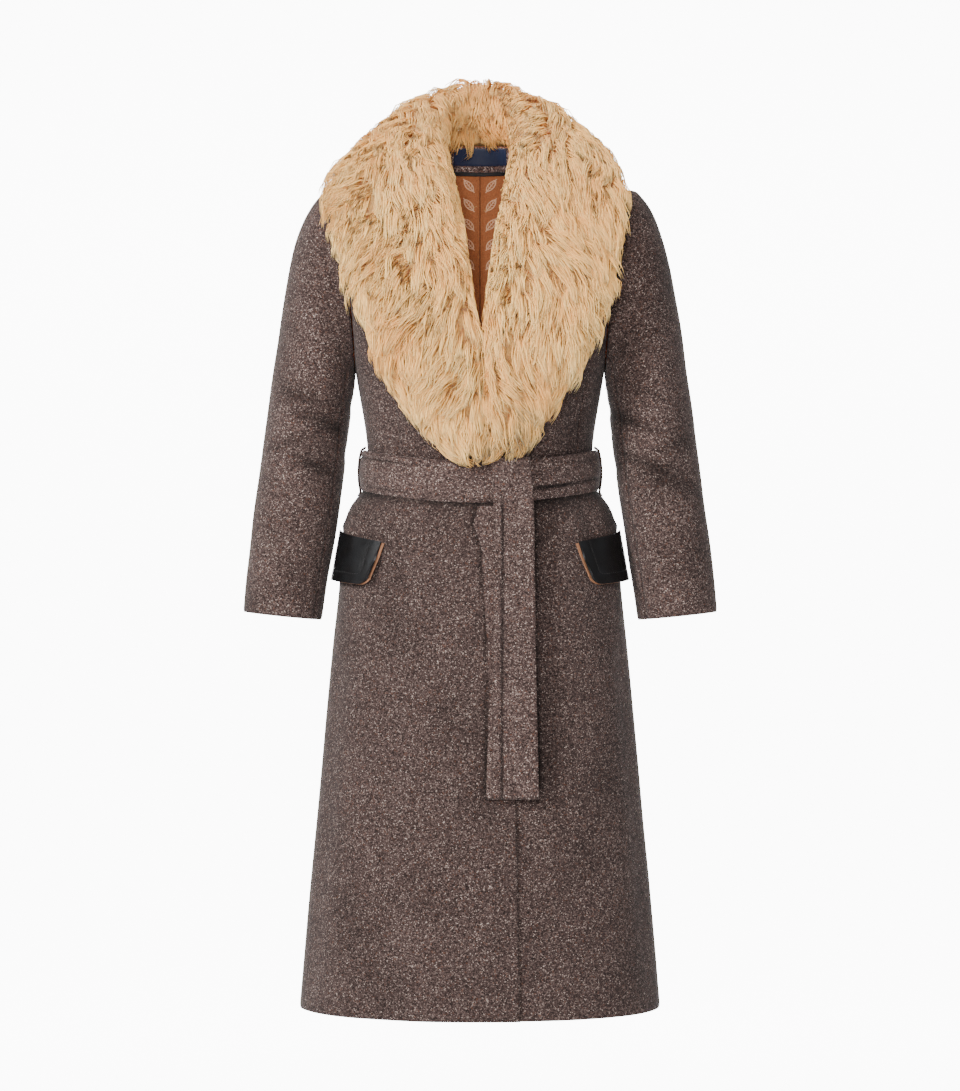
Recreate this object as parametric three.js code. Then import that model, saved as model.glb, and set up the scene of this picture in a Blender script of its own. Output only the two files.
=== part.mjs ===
import * as THREE from 'three';

// A belted wrap coat, filled out as worn, hollow, in millimetres. +Z is up, -Y is the front.
// "Own" x counts outward from the middle on either side: side 1 is +X, side -1 is -X.
// The right front (side -1) laps over the left front (side 1).

const cloth = 2.5;          // wall of the coating cloth
const seamGap = 0.3;        // between two pieces at a seam
const overlapLift = 4.2;    // how far the upper front lies above the lower one
const squareness = 2.2;     // power of the body's section, 2 is an ellipse
const armpitHeight = -288;
const hemHeight = -1094;
const shoulderTip = [190, 3, -50];
const sideNeck = [72, 15, 6];
const napeDepth = 85;
const napeHeight = 17;
const beltWidth = 52;
const beltSideHeight = -410; // middle of the belt at the side seams
const waistDip = 17;         // how much lower the waist is in front
const meetTop = [1, -234];   // x and z where the two collar halves first meet
const meetEnd = [8, -400];

// Body sections: half width, depth in front, depth behind
const bodySections = [
  { z: -200, half: 168, front: 130, back: 119 },
  { z: -288, half: 158.3, front: 124, back: 112 },
  { z: -320, half: 153, front: 118, back: 106 },
  { z: -346, half: 148.5, front: 112, back: 101 },
  { z: -371, half: 145, front: 106, back: 96 },
  { z: -390, half: 143.6, front: 103, back: 93 },
  { z: -412, half: 143.6, front: 102, back: 92 },
  { z: -428, half: 145.6, front: 103, back: 94 },
  { z: -440, half: 153, front: 109, back: 100 },
  { z: -452, half: 163, front: 113, back: 106 },
  { z: -472, half: 172, front: 118, back: 113 },
  { z: -500, half: 176, front: 122, back: 120 },
  { z: -563, half: 180.6, front: 126, back: 127 },
  { z: -627, half: 187.5, front: 128.5, back: 131 },
  { z: -704, half: 195, front: 131, back: 135 },
  { z: -781, half: 202, front: 134, back: 138 },
  { z: -858, half: 209, front: 137, back: 141 },
  { z: -934, half: 216.5, front: 140, back: 144 },
  { z: -1011, half: 223.4, front: 143, back: 147 },
  { z: -1094, half: 230.4, front: 146, back: 150 },
];

// How far each front reaches past the middle
const lapEdge = [
  { z: -288, upper: 2.3, lower: 2 },
  { z: -340, upper: 4.5, lower: 4 },
  { z: -393, upper: 6.8, lower: 7 },
  { z: -425, upper: 24, lower: 26 },
  { z: -450, upper: 34, lower: 42 },
  { z: -520, upper: 38, lower: 50 },
  { z: -820, upper: 44.8, lower: 56 },
  { z: -1094, upper: 49.5, lower: 60 },
];

// The front's free edge beneath the collar, in own x, from the armpit level up to the side of the neck
const neckEdge = [
  { x: 6, y: -127, z: -245 },
  { x: 22, y: -122, z: -190 },
  { x: 41, y: -104, z: -124 },
  { x: 61, y: -54, z: -46 },
];

// Soft folds of the body: angle from the side seam in degrees (behind is negative), half width in degrees,
// depth in mm (a trough is negative), and the heights between which it runs
const bodyFolds = [
  { side: 1, angle: 38, width: 5.5, depth: -5, top: -432, bottom: -540 },
  { side: 1, angle: 62, width: 8, depth: -2.6, top: -436, bottom: -760 },
  { side: -1, angle: 57, width: 7, depth: -3.2, top: -436, bottom: -640 },
  { side: -1, angle: 36, width: 6, depth: -2.8, top: -436, bottom: -540 },
  { side: 1, angle: 22, width: 9, depth: -3.4, top: -620, bottom: -1120 },
  { side: -1, angle: 24, width: 10, depth: -3.6, top: -640, bottom: -1120 },
  { side: 1, angle: -34, width: 10, depth: -5, top: -440, bottom: -1120 },
  { side: -1, angle: -38, width: 11, depth: -4.6, top: -445, bottom: -1120 },
  { side: 1, angle: -64, width: 8, depth: -4, top: -438, bottom: -900 },
  { side: -1, angle: -60, width: 8, depth: -4.4, top: -438, bottom: -980 },
  { side: 1, angle: 40, width: 7, depth: -3, top: -300, bottom: -412 },
  { side: -1, angle: 44, width: 7, depth: -2.6, top: -310, bottom: -412 },
  { side: 1, angle: -48, width: 8, depth: -3.6, top: -250, bottom: -412 },
  { side: -1, angle: -52, width: 8, depth: -3.2, top: -260, bottom: -412 },
];

// Sleeve rings from the armhole to the cuff: outer and inner points, depth in front and behind, middle in y
const sleeveRings = [
  { outX: 190, outZ: -50, inX: 158.6, inZ: -288, front: 62, back: 68, midY: 3, notch: 6 },
  { outX: 202, outZ: -56.5, inX: 159, inZ: -289.6, front: 65, back: 70, midY: 3, notch: 4 },
  { outX: 214.5, outZ: -70, inX: 159.4, inZ: -291.2, front: 67, back: 71, midY: 3, notch: 2 },
  { outX: 226, outZ: -91, inX: 159.8, inZ: -293, front: 68, back: 72, midY: 2, notch: 1 },
  { outX: 236, outZ: -119, inX: 160, inZ: -295, front: 69, back: 72, midY: 2, notch: 0 },
  { outX: 243.5, outZ: -150, inX: 160.2, inZ: -297.4, front: 70, back: 72, midY: 1, notch: 0 },
  { outX: 249.8, outZ: -184, inX: 160.4, inZ: -300, front: 70, back: 72, midY: 1, notch: 0 },
  { outX: 255.6, outZ: -219, inX: 160.8, inZ: -303, front: 70, back: 72, midY: 0, notch: 0 },
  { outX: 261, outZ: -256, inX: 161.4, inZ: -306.4, front: 70, back: 71, midY: 0, notch: 0 },
  { outX: 266, outZ: -294, inX: 162.2, inZ: -311, front: 69, back: 70, midY: 0, notch: 0 },
  { outX: 272, outZ: -338, inX: 166.8, inZ: -352, front: 67, back: 68, midY: -1, notch: 0 },
  { outX: 278.8, outZ: -390, inX: 172.4, inZ: -404, front: 65, back: 65, midY: -2, notch: 0 },
  { outX: 285.9, outZ: -442, inX: 179, inZ: -456, front: 62, back: 62, midY: -5, notch: 0 },
  { outX: 292.4, outZ: -494, inX: 187, inZ: -508, front: 58, back: 58, midY: -9, notch: 0 },
  { outX: 298.4, outZ: -545, inX: 195, inZ: -557, front: 54, back: 54, midY: -13, notch: 0 },
  { outX: 302.2, outZ: -590, inX: 201.3, inZ: -600.5, front: 50, back: 50, midY: -17, notch: 0 },
];
const sleeveSteps = 20;      // round a sleeve, shared with the armhole edge of the fronts and backs
const sleeveFrontSeam = 8;   // steps from the shoulder point, forward
const sleeveBackSeam = 13;
const armholeRows = sleeveSteps / 2;
const frontColumns = 13;
const backColumns = 12;
const shoulderColumns = 6;   // of the back's columns, the rest lie along the neck
const lowerRows = [
  -303, -320, -340, -362, -384, -400, -416, -429, -440, -453,
  -472, -500, -540, -600, -680, -780, -880, -980, hemHeight,
];

// Collar sections from the back seam to the end in front. Behind, "step" counts the back's columns from
// the middle to the side of the neck, "across" is where the outer end lies between armhole and middle and
// "fall" how far down the back, as a share of the armhole. In front, "way" runs down the front and "reach"
// is how far across it the section's outer end lies. "roll" is the height of the rolled edge, "inward" how
// far the fur stands into the neck opening, "over" how far it hangs past the end, "raise" how far the end
// is lifted off, and "seat" the gap to the seam behind, where the back's edge turns sharply.
const collarBack = [
  { step: 0, across: 1, fall: 0.3, roll: 88, lean: 0, inward: 26,
    thick: 36, edge: 30, over: 8, raise: 0, seat: 0.9 },
  { step: 1, across: 0.86, fall: 0.3, roll: 87, lean: 0, inward: 26,
    thick: 37, edge: 30, over: 8, raise: 0, seat: 0.9 },
  { step: 2, across: 0.7, fall: 0.29, roll: 84, lean: 1, inward: 27,
    thick: 38, edge: 31, over: 8, raise: 0, seat: 0.9 },
  { step: 3, across: 0.53, fall: 0.27, roll: 79, lean: 3, inward: 28,
    thick: 40, edge: 32, over: 8, raise: 1, seat: 1.5 },
  { step: 4, across: 0.35, fall: 0.22, roll: 73, lean: 5, inward: 30,
    thick: 43, edge: 33, over: 8, raise: 2, seat: 1.9 },
  { step: 5, across: 0.16, fall: 0.13, roll: 67, lean: 7, inward: 32,
    thick: 46, edge: 35, over: 9, raise: 3, seat: 1.9 },
];
const collarFront = [
  { way: 0, reach: 0.02, roll: 62, lean: 8, inward: 34, thick: 47, edge: 36, over: 2, raise: 4 },
  { way: 0.1, reach: 0.03, roll: 56, lean: 8, inward: 33, thick: 46, edge: 36, over: 2, raise: 6 },
  { way: 0.2, reach: 0.06, roll: 50, lean: 6, inward: 32, thick: 44, edge: 35, over: 3, raise: 8 },
  { way: 0.3, reach: 0.1, roll: 45, lean: 4, inward: 30, thick: 42, edge: 34, over: 3, raise: 9 },
  { way: 0.4, reach: 0.17, roll: 40, lean: 2, inward: 26, thick: 40, edge: 33, over: 4, raise: 9 },
  { way: 0.5, reach: 0.25, roll: 36, lean: 0, inward: 22, thick: 38, edge: 31, over: 4, raise: 8 },
  { way: 0.6, reach: 0.32, roll: 34, lean: 0, inward: 19, thick: 37, edge: 30, over: 4, raise: 6 },
  { way: 0.7, reach: 0.38, roll: 33, lean: 0, inward: 15, thick: 36, edge: 29, over: 4, raise: 3 },
  { way: 0.8, reach: 0.43, roll: 32, lean: 0, inward: 11, thick: 35, edge: 28, over: 5, raise: 0 },
  { way: 0.9, reach: 0.47, roll: 31, lean: 0, inward: 8, thick: 34, edge: 27, over: 5, raise: 0 },
  { way: 1, reach: 0.5, roll: 30, lean: 0, inward: 6, thick: 33, edge: 26, over: 5, raise: 0 },
  { way: 1.18, reach: 0.57, roll: 29, lean: 0, inward: 6, thick: 31, edge: 24, over: 5, raise: 0 },
  { way: 1.38, reach: 0.63, roll: 27, lean: 0, inward: 6, thick: 29, edge: 22, over: 6, raise: 0 },
  { way: 1.58, reach: 0.69, roll: 25, lean: 0, inward: 6, thick: 26, edge: 19, over: 6, raise: 0 },
  { way: 1.76, reach: 0.75, roll: 22, lean: 0, inward: 6, thick: 22, edge: 15, over: 6, raise: 0 },
  { way: 1.88, reach: 0.81, roll: 17, lean: 0, inward: 6, thick: 16, edge: 10, over: 6, raise: 0 },
];
const underSteps = 7;
const underGap = 0.9;         // between the collar and what it is sewn to
const underlay = 4;           // more clearance away from the seam
const lapBelow = 100;         // mm of height for one unit of "way" below the armpit

const material = (color, roughness = 0.9, metalness = 0) =>
  new THREE.MeshStandardMaterial({ color, roughness, metalness, side: THREE.DoubleSide });
const tweed = material(0x6a5f5a);
const fur = material(0xdcb98c);
const blackLeather = material(0x17171b, 0.45);
const tanLeather = material(0x9a6238, 0.6);
const navySatin = material(0x1c2238, 0.5);
const blackBinding = material(0x111111, 0.6);

const radians = (degrees) => degrees * Math.PI / 180;
const mix = (a, b, t) => a + (b - a) * t;
const clamp01 = (t) => Math.min(1, Math.max(0, t));
const smooth = (from, to, value) => {
  const t = clamp01((value - from) / (to - from));
  return t * t * (3 - 2 * t);
};
const add = (a, b, scale = 1) => [a[0] + b[0] * scale, a[1] + b[1] * scale, a[2] + b[2] * scale];
const minus = (a, b) => add(a, b, -1);
const cross = (a, b) => [
  a[1] * b[2] - a[2] * b[1],
  a[2] * b[0] - a[0] * b[2],
  a[0] * b[1] - a[1] * b[0],
];
const unit = (a) => {
  const size = Math.hypot(...a) || 1;
  return a.map((value) => value / size);
};
const mixPoint = (a, b, t) => a.map((value, axis) => mix(value, b[axis], t));
const mirrored = (side, [x, y, z]) => [x * side, y, z];

// Smooth curve through a table's column by height, from the top row down
function lookup(table, z, column) {
  let row = 0;
  while (row < table.length - 2 && z < table[row + 1].z) row += 1;
  const slope = (from, to) => (table[to][column] - table[from][column]) / (table[to].z - table[from].z);
  const last = table.length - 1;
  const startSlope = slope(Math.max(0, row - 1), row + 1);
  const endSlope = slope(row, Math.min(last, row + 2));
  const length = table[row + 1].z - table[row].z;
  const t = clamp01((z - table[row].z) / length);
  const bend = t * t * (3 - 2 * t);
  return mix(table[row][column], table[row + 1][column], bend)
    + length * t * (1 - t) * ((1 - t) * startSlope - t * endSlope);
}

function alongPoints(points, t) {
  const curve = new THREE.CatmullRomCurve3(points.map((point) => new THREE.Vector3(...point)));
  return curve.getPoint(t).toArray();
}

// The waist line dips towards the front
function dip(angle, z) {
  const facing = Math.max(0, Math.sin(angle));
  return waistDip * facing * facing * smooth(-300, -400, z) * smooth(-600, -450, z);
}

function foldDepth(side, angle, z) {
  let depth = 0;
  for (const fold of bodyFolds) {
    if (fold.side !== side) continue;
    const off = (angle * 180 / Math.PI - fold.angle) / fold.width;
    const reach = smooth(fold.top, fold.top - 26, z) * smooth(fold.bottom, fold.bottom + 70, z);
    depth += fold.depth * Math.exp(-off * off) * reach;
  }
  return depth;
}

// The upper front is raised where it lies on the lower one
function lapLift(worldX, z) {
  return overlapLift * smooth(-130, -66, worldX) * smooth(-130, -215, z);
}

// A point of the body below the armpit, in own x. The angle starts at the side seam, forward is positive.
function bodyPoint(side, angle, z) {
  const half = lookup(bodySections, z, 'half');
  const depth = lookup(bodySections, z, angle > 0 ? 'front' : 'back');
  const across = Math.cos(angle);
  const along = Math.sin(angle);
  const round = (Math.abs(across) ** squareness + Math.abs(along) ** squareness) ** (-1 / squareness);
  const fold = foldDepth(side, angle, z);
  return [
    (half * round + fold) * across,
    -(depth * round + fold) * along,
    z - dip(angle, z),
  ];
}

function withLift(side, point) {
  if (side > 0) return point;
  return [point[0], point[1] - lapLift(-point[0], point[2]), point[2]];
}

function edgeAngle(side, z) {
  const past = lookup(lapEdge, z, side < 0 ? 'upper' : 'lower');
  return Math.acos(-past / lookup(bodySections, z, 'half'));
}

// The armhole, and every ring of the sleeve: turn 0 is the outer (shoulder) side, forward is positive
function sleevePoint(ring, turn) {
  const outer = [ring.outX, ring.midY, ring.outZ];
  const inner = [ring.inX, ring.midY, ring.inZ];
  const middle = mixPoint(outer, inner, 0.5);
  const forward = Math.sin(turn);
  const depth = forward > 0 ? ring.front : ring.back;
  const reach = add(middle, minus(outer, middle), Math.cos(turn));
  return [reach[0] - ring.notch * forward * forward, reach[1] - depth * forward, reach[2]];
}
const armhole = sleeveRings[0];
const armholeTurn = (row) => radians(180) * (1 - row / armholeRows);

// A patch between four edges (Coons)
function patch(left, right, bottom, top, s, t) {
  const corner = (u, v) => (v ? top(u) : bottom(u));
  const point = [0, 1, 2].map((axis) =>
    (1 - t) * bottom(s)[axis] + t * top(s)[axis] + (1 - s) * left(t)[axis] + s * right(t)[axis]
    - (1 - s) * (1 - t) * corner(0, 0)[axis] - s * (1 - t) * corner(1, 0)[axis]
    - (1 - s) * t * corner(0, 1)[axis] - s * t * corner(1, 1)[axis]);
  return point;
}

const shoulderLine = (s) => mixPoint(shoulderTip, sideNeck, s);

// A point of a front: s runs from the side seam or armhole to the free edge, "way" from the shoulder (0)
// to the armpit (1) and on down the skirt
function frontPoint(side, s, way) {
  if (way >= 1) {
    const z = armpitHeight - (way - 1) * lapBelow;
    return withLift(side, bodyPoint(side, edgeAngle(side, z) * s, z));
  }
  const t = 1 - way;
  const bottom = (u) => bodyPoint(side, edgeAngle(side, armpitHeight) * u, armpitHeight);
  const edge = [bottom(1), ...neckEdge.map(({ x, y, z }) => [x, y, z]), sideNeck];
  const left = (v) => sleevePoint(armhole, radians(180) * (1 - v));
  const right = (v) => alongPoints(edge, v);
  return withLift(side, patch(left, right, bottom, shoulderLine, s, t));
}

const neckShare = shoulderColumns / backColumns;

function backTop(s) {
  if (s <= neckShare) return shoulderLine(s / neckShare);
  const turn = radians(90) * (s - neckShare) / (1 - neckShare);
  return [
    sideNeck[0] * Math.cos(turn),
    mix(sideNeck[1], napeDepth, Math.sin(turn)),
    mix(sideNeck[2], napeHeight, Math.sin(turn)),
  ];
}

// A point of a back: s runs from the side seam or armhole to the middle, "way" as on a front
function backPoint(side, s, way) {
  if (way >= 1) {
    const z = armpitHeight - (way - 1) * lapBelow;
    return bodyPoint(side, -radians(90) * s, z);
  }
  const bottom = (u) => bodyPoint(side, -radians(90) * u, armpitHeight);
  const middle = [bottom(1), [0, 119, -200], [0, 119, -120], [0, 107, -45], [0, napeDepth, napeHeight]];
  const left = (v) => sleevePoint(armhole, radians(180) * (1 + v));
  const right = (v) => alongPoints(middle, v);
  return patch(left, right, bottom, backTop, s, 1 - way);
}

// Turns outer and inner grids of points into one closed wall
function wallGeometry(outer, inner) {
  const rows = outer.length;
  const columns = outer[0].length;
  const points = [...outer.flat(), ...inner.flat()];
  const index = (layer, row, column) => (layer * rows + row) * columns + column;
  const faces = [];
  const quad = (a, b, c, d) => faces.push(a, b, c, a, c, d);
  for (let row = 0; row < rows - 1; row += 1) {
    for (let column = 0; column < columns - 1; column += 1) {
      quad(index(0, row, column), index(0, row, column + 1),
        index(0, row + 1, column + 1), index(0, row + 1, column));
      quad(index(1, row, column), index(1, row + 1, column),
        index(1, row + 1, column + 1), index(1, row, column + 1));
    }
  }
  for (let row = 0; row < rows - 1; row += 1) {
    quad(index(0, row + 1, 0), index(1, row + 1, 0), index(1, row, 0), index(0, row, 0));
    const end = columns - 1;
    quad(index(0, row, end), index(1, row, end), index(1, row + 1, end), index(0, row + 1, end));
  }
  for (let column = 0; column < columns - 1; column += 1) {
    quad(index(0, 0, column), index(1, 0, column), index(1, 0, column + 1), index(0, 0, column + 1));
    const end = rows - 1;
    quad(index(0, end, column + 1), index(1, end, column + 1),
      index(1, end, column), index(0, end, column));
  }
  return solidGeometry(points, faces);
}

// Closed loops joined in order, each end filled from its middle
function loopGeometry(loops, closed = false) {
  const size = loops[0].length;
  const points = loops.flat();
  const faces = [];
  const last = closed ? loops.length : loops.length - 1;
  for (let loop = 0; loop < last; loop += 1) {
    for (let step = 0; step < size; step += 1) {
      const here = loop * size;
      const there = ((loop + 1) % loops.length) * size;
      const next = (step + 1) % size;
      faces.push(here + step, here + next, there + next, here + step, there + next, there + step);
    }
  }
  if (!closed) {
    for (const [loop, flip] of [[0, true], [loops.length - 1, false]]) {
      const middle = points.length;
      const sum = loops[loop].reduce((total, point) => add(total, point), [0, 0, 0]);
      points.push(sum.map((value) => value / size));
      for (let step = 0; step < size; step += 1) {
        const a = loop * size + step;
        const b = loop * size + (step + 1) % size;
        if (flip) faces.push(middle, b, a);
        else faces.push(middle, a, b);
      }
    }
  }
  return solidGeometry(points, faces);
}

// Faces are turned outward by the sign of the volume, so a mirrored piece needs no care
function solidGeometry(points, faces) {
  let volume = 0;
  for (let face = 0; face < faces.length; face += 3) {
    const [a, b, c] = [0, 1, 2].map((corner) => points[faces[face + corner]]);
    const normal = cross(b, c);
    volume += a[0] * normal[0] + a[1] * normal[1] + a[2] * normal[2];
  }
  if (volume < 0) faces.reverse();
  const geometry = new THREE.BufferGeometry();
  geometry.setAttribute('position', new THREE.Float32BufferAttribute(points.flat(), 3));
  geometry.setIndex(faces);
  geometry.computeVertexNormals();
  return geometry;
}

function mesh(name, geometry, finish) {
  const piece = new THREE.Mesh(geometry, finish);
  piece.name = name;
  return piece;
}

// Outward normals of a grid of points, by the neighbours of each
function gridNormals(grid, outward) {
  return grid.map((line, row) => line.map((point, column) => {
    const above = grid[Math.max(0, row - 1)][column];
    const below = grid[Math.min(grid.length - 1, row + 1)][column];
    const before = line[Math.max(0, column - 1)];
    const after = line[Math.min(line.length - 1, column + 1)];
    const normal = unit(cross(minus(after, before), minus(below, above)));
    const facing = outward(point);
    const sign = normal[0] * facing[0] + normal[1] * facing[1] + normal[2] * facing[2] < 0 ? -1 : 1;
    return normal.map((value) => value * sign);
  }));
}

const bodyOutward = (point) => [point[0] * 0.6, point[1], 0.001 + Math.max(0, point[2] + 60) * 1.5];

// Normals of the armhole edge lie in the armhole's own plane, so that both sides of the seam share them
function armholeNormal(turn) {
  const point = sleevePoint(armhole, turn);
  const middleZ = (armhole.outZ + armhole.inZ) / 2;
  return unit([0, point[1] - armhole.midY, point[2] - middleZ]);
}

const shoulderNormal = unit([sideNeck[2] - shoulderTip[2], 0, sideNeck[0] - shoulderTip[0]]
  .map((value, axis) => (axis === 0 ? value : Math.abs(value))));

function bodyRows() {
  const rows = [];
  for (let row = 0; row <= armholeRows; row += 1) rows.push(row / armholeRows);
  for (const z of lowerRows) rows.push(1 + (armpitHeight - z) / lapBelow);
  return rows;
}

// A front or back: its grid of points, with the rules for the normals along each seam
function bodyPanel(side, front) {
  const columns = front ? frontColumns : backColumns;
  const forward = front ? -1 : 1;
  const place = front ? frontPoint : backPoint;
  const rows = bodyRows();
  const grid = rows.map((way) => {
    const line = [];
    for (let column = 0; column <= columns; column += 1) line.push(place(side, column / columns, way));
    return line;
  });
  const normals = gridNormals(grid, bodyOutward);
  const half = seamGap / 2;
  for (let row = 0; row < rows.length; row += 1) {
    const line = grid[row];
    const turn = front ? armholeTurn(armholeRows - row) : -armholeTurn(armholeRows - row);
    if (row <= armholeRows) {
      normals[row][0] = armholeNormal(turn);
      line[0] = add(line[0], [-half, 0, 0]);
    } else {
      const up = minus(grid[row - 1][0], grid[Math.min(rows.length - 1, row + 1)][0]);
      normals[row][0] = unit([up[2], 0, -up[0]]);
    }
    if (row >= armholeRows) line[0] = add(line[0], [0, half * forward, 0]);
    if (!front) {
      const last = normals[row][columns];
      normals[row][columns] = unit([0, last[1], last[2]]);
      line[columns] = [half, line[columns][1], line[columns][2]];
    }
  }
  const shoulderEnd = front ? columns : shoulderColumns;
  for (let column = 0; column <= shoulderEnd; column += 1) {
    if (column > 0) normals[0][column] = shoulderNormal;
    grid[0][column] = add(grid[0][column], [0, half * forward, 0]);
  }
  const inward = (point, row, column) => add(point, normals[row][column], -cloth);
  const inner = grid.map((line, row) => line.map((point, column) => inward(point, row, column)));
  const turned = (points) => points.map((line) => line.map((point) => mirrored(side, point)));
  return wallGeometry(turned(grid), turned(inner));
}

function sleeveGrid() {
  const grid = sleeveRings.map((ring) => {
    const line = [];
    for (let step = 0; step < sleeveSteps; step += 1) {
      line.push(sleevePoint(ring, radians(360) * step / sleeveSteps));
    }
    return line;
  });
  const sum = (total, point) => add(total, point, 1 / sleeveSteps);
  const middles = grid.map((line) => line.reduce(sum, [0, 0, 0]));
  const normals = grid.map((line, row) => line.map((point, step) => {
    if (row === 0) return armholeNormal(radians(360) * step / sleeveSteps);
    const above = grid[row - 1][step];
    const below = grid[Math.min(grid.length - 1, row + 1)][step];
    const before = line[(step + sleeveSteps - 1) % sleeveSteps];
    const after = line[(step + 1) % sleeveSteps];
    const normal = unit(cross(minus(after, before), minus(below, above)));
    const away = minus(point, middles[row]);
    const sign = normal[0] * away[0] + normal[1] * away[1] + normal[2] * away[2] < 0 ? -1 : 1;
    return normal.map((value) => value * sign);
  }));
  return { grid, normals };
}

// One of a sleeve's two pieces, from one lengthwise seam to the other
function sleevePanel(side, firstStep, lastStep) {
  const { grid, normals } = sleeveGrid();
  const outer = [];
  const inner = [];
  for (let row = 0; row < grid.length; row += 1) {
    const outerLine = [];
    const innerLine = [];
    for (let step = firstStep; step <= lastStep; step += 1) {
      const at = (step + sleeveSteps) % sleeveSteps;
      let point = grid[row][at];
      const normal = normals[row][at];
      const next = grid[row][(at + 1) % sleeveSteps];
      const previous = grid[row][(at + sleeveSteps - 1) % sleeveSteps];
      const along = unit(minus(next, previous));
      if (row === 0) point = add(point, [seamGap / 2, 0, 0]);
      if (step === firstStep) point = add(point, along, seamGap);
      if (step === lastStep) point = add(point, along, -seamGap);
      outerLine.push(mirrored(side, point));
      innerLine.push(mirrored(side, add(point, normal, -cloth)));
    }
    outer.push(outerLine);
    inner.push(innerLine);
  }
  return wallGeometry(outer, inner);
}

// Where the two collar halves meet in front
function meetingX(z) {
  return mix(meetTop[0], meetEnd[0], clamp01((meetTop[1] - z) / (meetTop[1] - meetEnd[1])));
}

function surfaceNormal(surface, side, s, way) {
  const step = 0.01;
  const at = (aside, below) => surface(side, clamp01(s + aside), Math.max(0, way + below));
  const across = minus(at(step, 0), at(-step, 0));
  const down = minus(at(0, step), at(0, -step));
  const normal = unit(cross(across, down));
  const facing = bodyOutward(surface(side, s, way));
  const ahead = normal[0] * facing[0] + normal[1] * facing[1] + normal[2] * facing[2];
  return ahead < 0 ? normal.map((value) => -value) : normal;
}

// Behind, the fur stands off in one smooth fan from the middle of the back (0) to the shoulder (1)
function fallNormal(round) {
  const turn = radians(90) * round;
  const tilt = radians(mix(20, 64, round ** 1.3));
  return [Math.sin(turn) * Math.cos(tilt), Math.cos(turn) * Math.cos(tilt), Math.sin(tilt)];
}

// One section of the collar, made from the panel's points beneath it, moved out
function collarLoop(side, row, behind) {
  const round = behind ? row.step / (backColumns - shoulderColumns) : 0;
  const along = (r) => {
    if (!behind) return [mix(1, row.reach, r), row.way];
    return [mix(mix(1, neckShare, round), row.across, r), row.fall * r];
  };
  const surface = behind ? backPoint : frontPoint;
  const under = [];
  for (let step = 0; step <= underSteps; step += 1) {
    const r = step / underSteps;
    const [s, way] = along(r);
    const atShoulder = !behind && way === 0;
    const normal = atShoulder ? shoulderNormal : surfaceNormal(surface, side, s, way);
    const off = (row.seat ?? underGap) + underlay * Math.min(1, r * 3) + row.raise * smooth(0.55, 1, r);
    const point = add(surface(side, s, way), normal, off);
    under.push({ point, normal: behind ? fallNormal(round) : normal });
  }
  const at = (r) => {
    const place = r * underSteps;
    const low = Math.min(underSteps - 1, Math.floor(place));
    return {
      point: mixPoint(under[low].point, under[low + 1].point, place - low),
      normal: unit(mixPoint(under[low].normal, under[low + 1].normal, place - low)),
    };
  };
  const start = under[0];
  const end = under[underSteps];
  const outwards = unit(minus(end.point, under[underSteps - 1].point));
  const inwards = unit(minus(start.point, under[1].point));
  const rollUp = behind ? [0, 0, 1] : unit(mixPoint([0, 0, 1], start.normal, smooth(0, 0.45, row.way)));
  const toNeck = unit([-start.point[0], sideNeck[1] - start.point[1], 0]);
  const flat = behind ? toNeck : unit(mixPoint(toNeck, inwards, smooth(0, 0.45, row.way)));
  const raised = (r, height, out = 0) => add(add(at(r).point, at(r).normal, height), outwards, out);
  const rolled = (inward, up) => add(add(start.point, flat, inward), rollUp, up);
  const loop = [
    ...under.map(({ point }) => point),
    add(add(end.point, end.normal, row.edge * 0.3), outwards, row.over),
    add(add(end.point, end.normal, row.edge * 0.78), outwards, row.over * 0.8),
    raised(0.86, row.edge + (row.thick - row.edge) * 0.6),
    raised(0.62, row.thick),
    mixPoint(raised(0.34, row.thick * 1.06), rolled(-row.lean - 22, row.roll * 0.92), 0.45),
    rolled(-row.lean - 6, row.roll),
    rolled(row.inward * 0.55, row.roll * 0.9),
    rolled(row.inward, row.roll * 0.58),
    rolled(row.inward * 0.96, row.roll * 0.24),
    rolled(row.inward * 0.6, 0.6),
  ];
  return loop.map((point) => {
    const meeting = meetingX(point[2]) * side + 0.5;
    const limit = !behind && point[2] < meetTop[1] + 60 ? meeting : seamGap / 2;
    const x = behind && row.step === 0 ? seamGap / 2 : Math.max(limit, point[0]);
    return mirrored(side, [x, point[1], point[2]]);
  });
}

function collarHalf(side) {
  const loops = [
    ...collarBack.map((row) => collarLoop(side, row, true)),
    ...collarFront.map((row) => collarLoop(side, row, false)),
  ];
  return loopGeometry(loops);
}

// Any place round the waist or skirt, by a full turn that starts at +X and goes forward
function roundPoint(turn, z) {
  const side = Math.cos(turn) >= 0 ? 1 : -1;
  const angle = side > 0 ? turn : Math.PI - turn;
  const [x, y, height] = bodyPoint(side, angle, z);
  const lift = y < 0 ? overlapLift * smooth(-130, -66, x * side) * (1 - smooth(52, 110, x * side)) : 0;
  return [x * side, y - lift, height];
}

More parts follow.
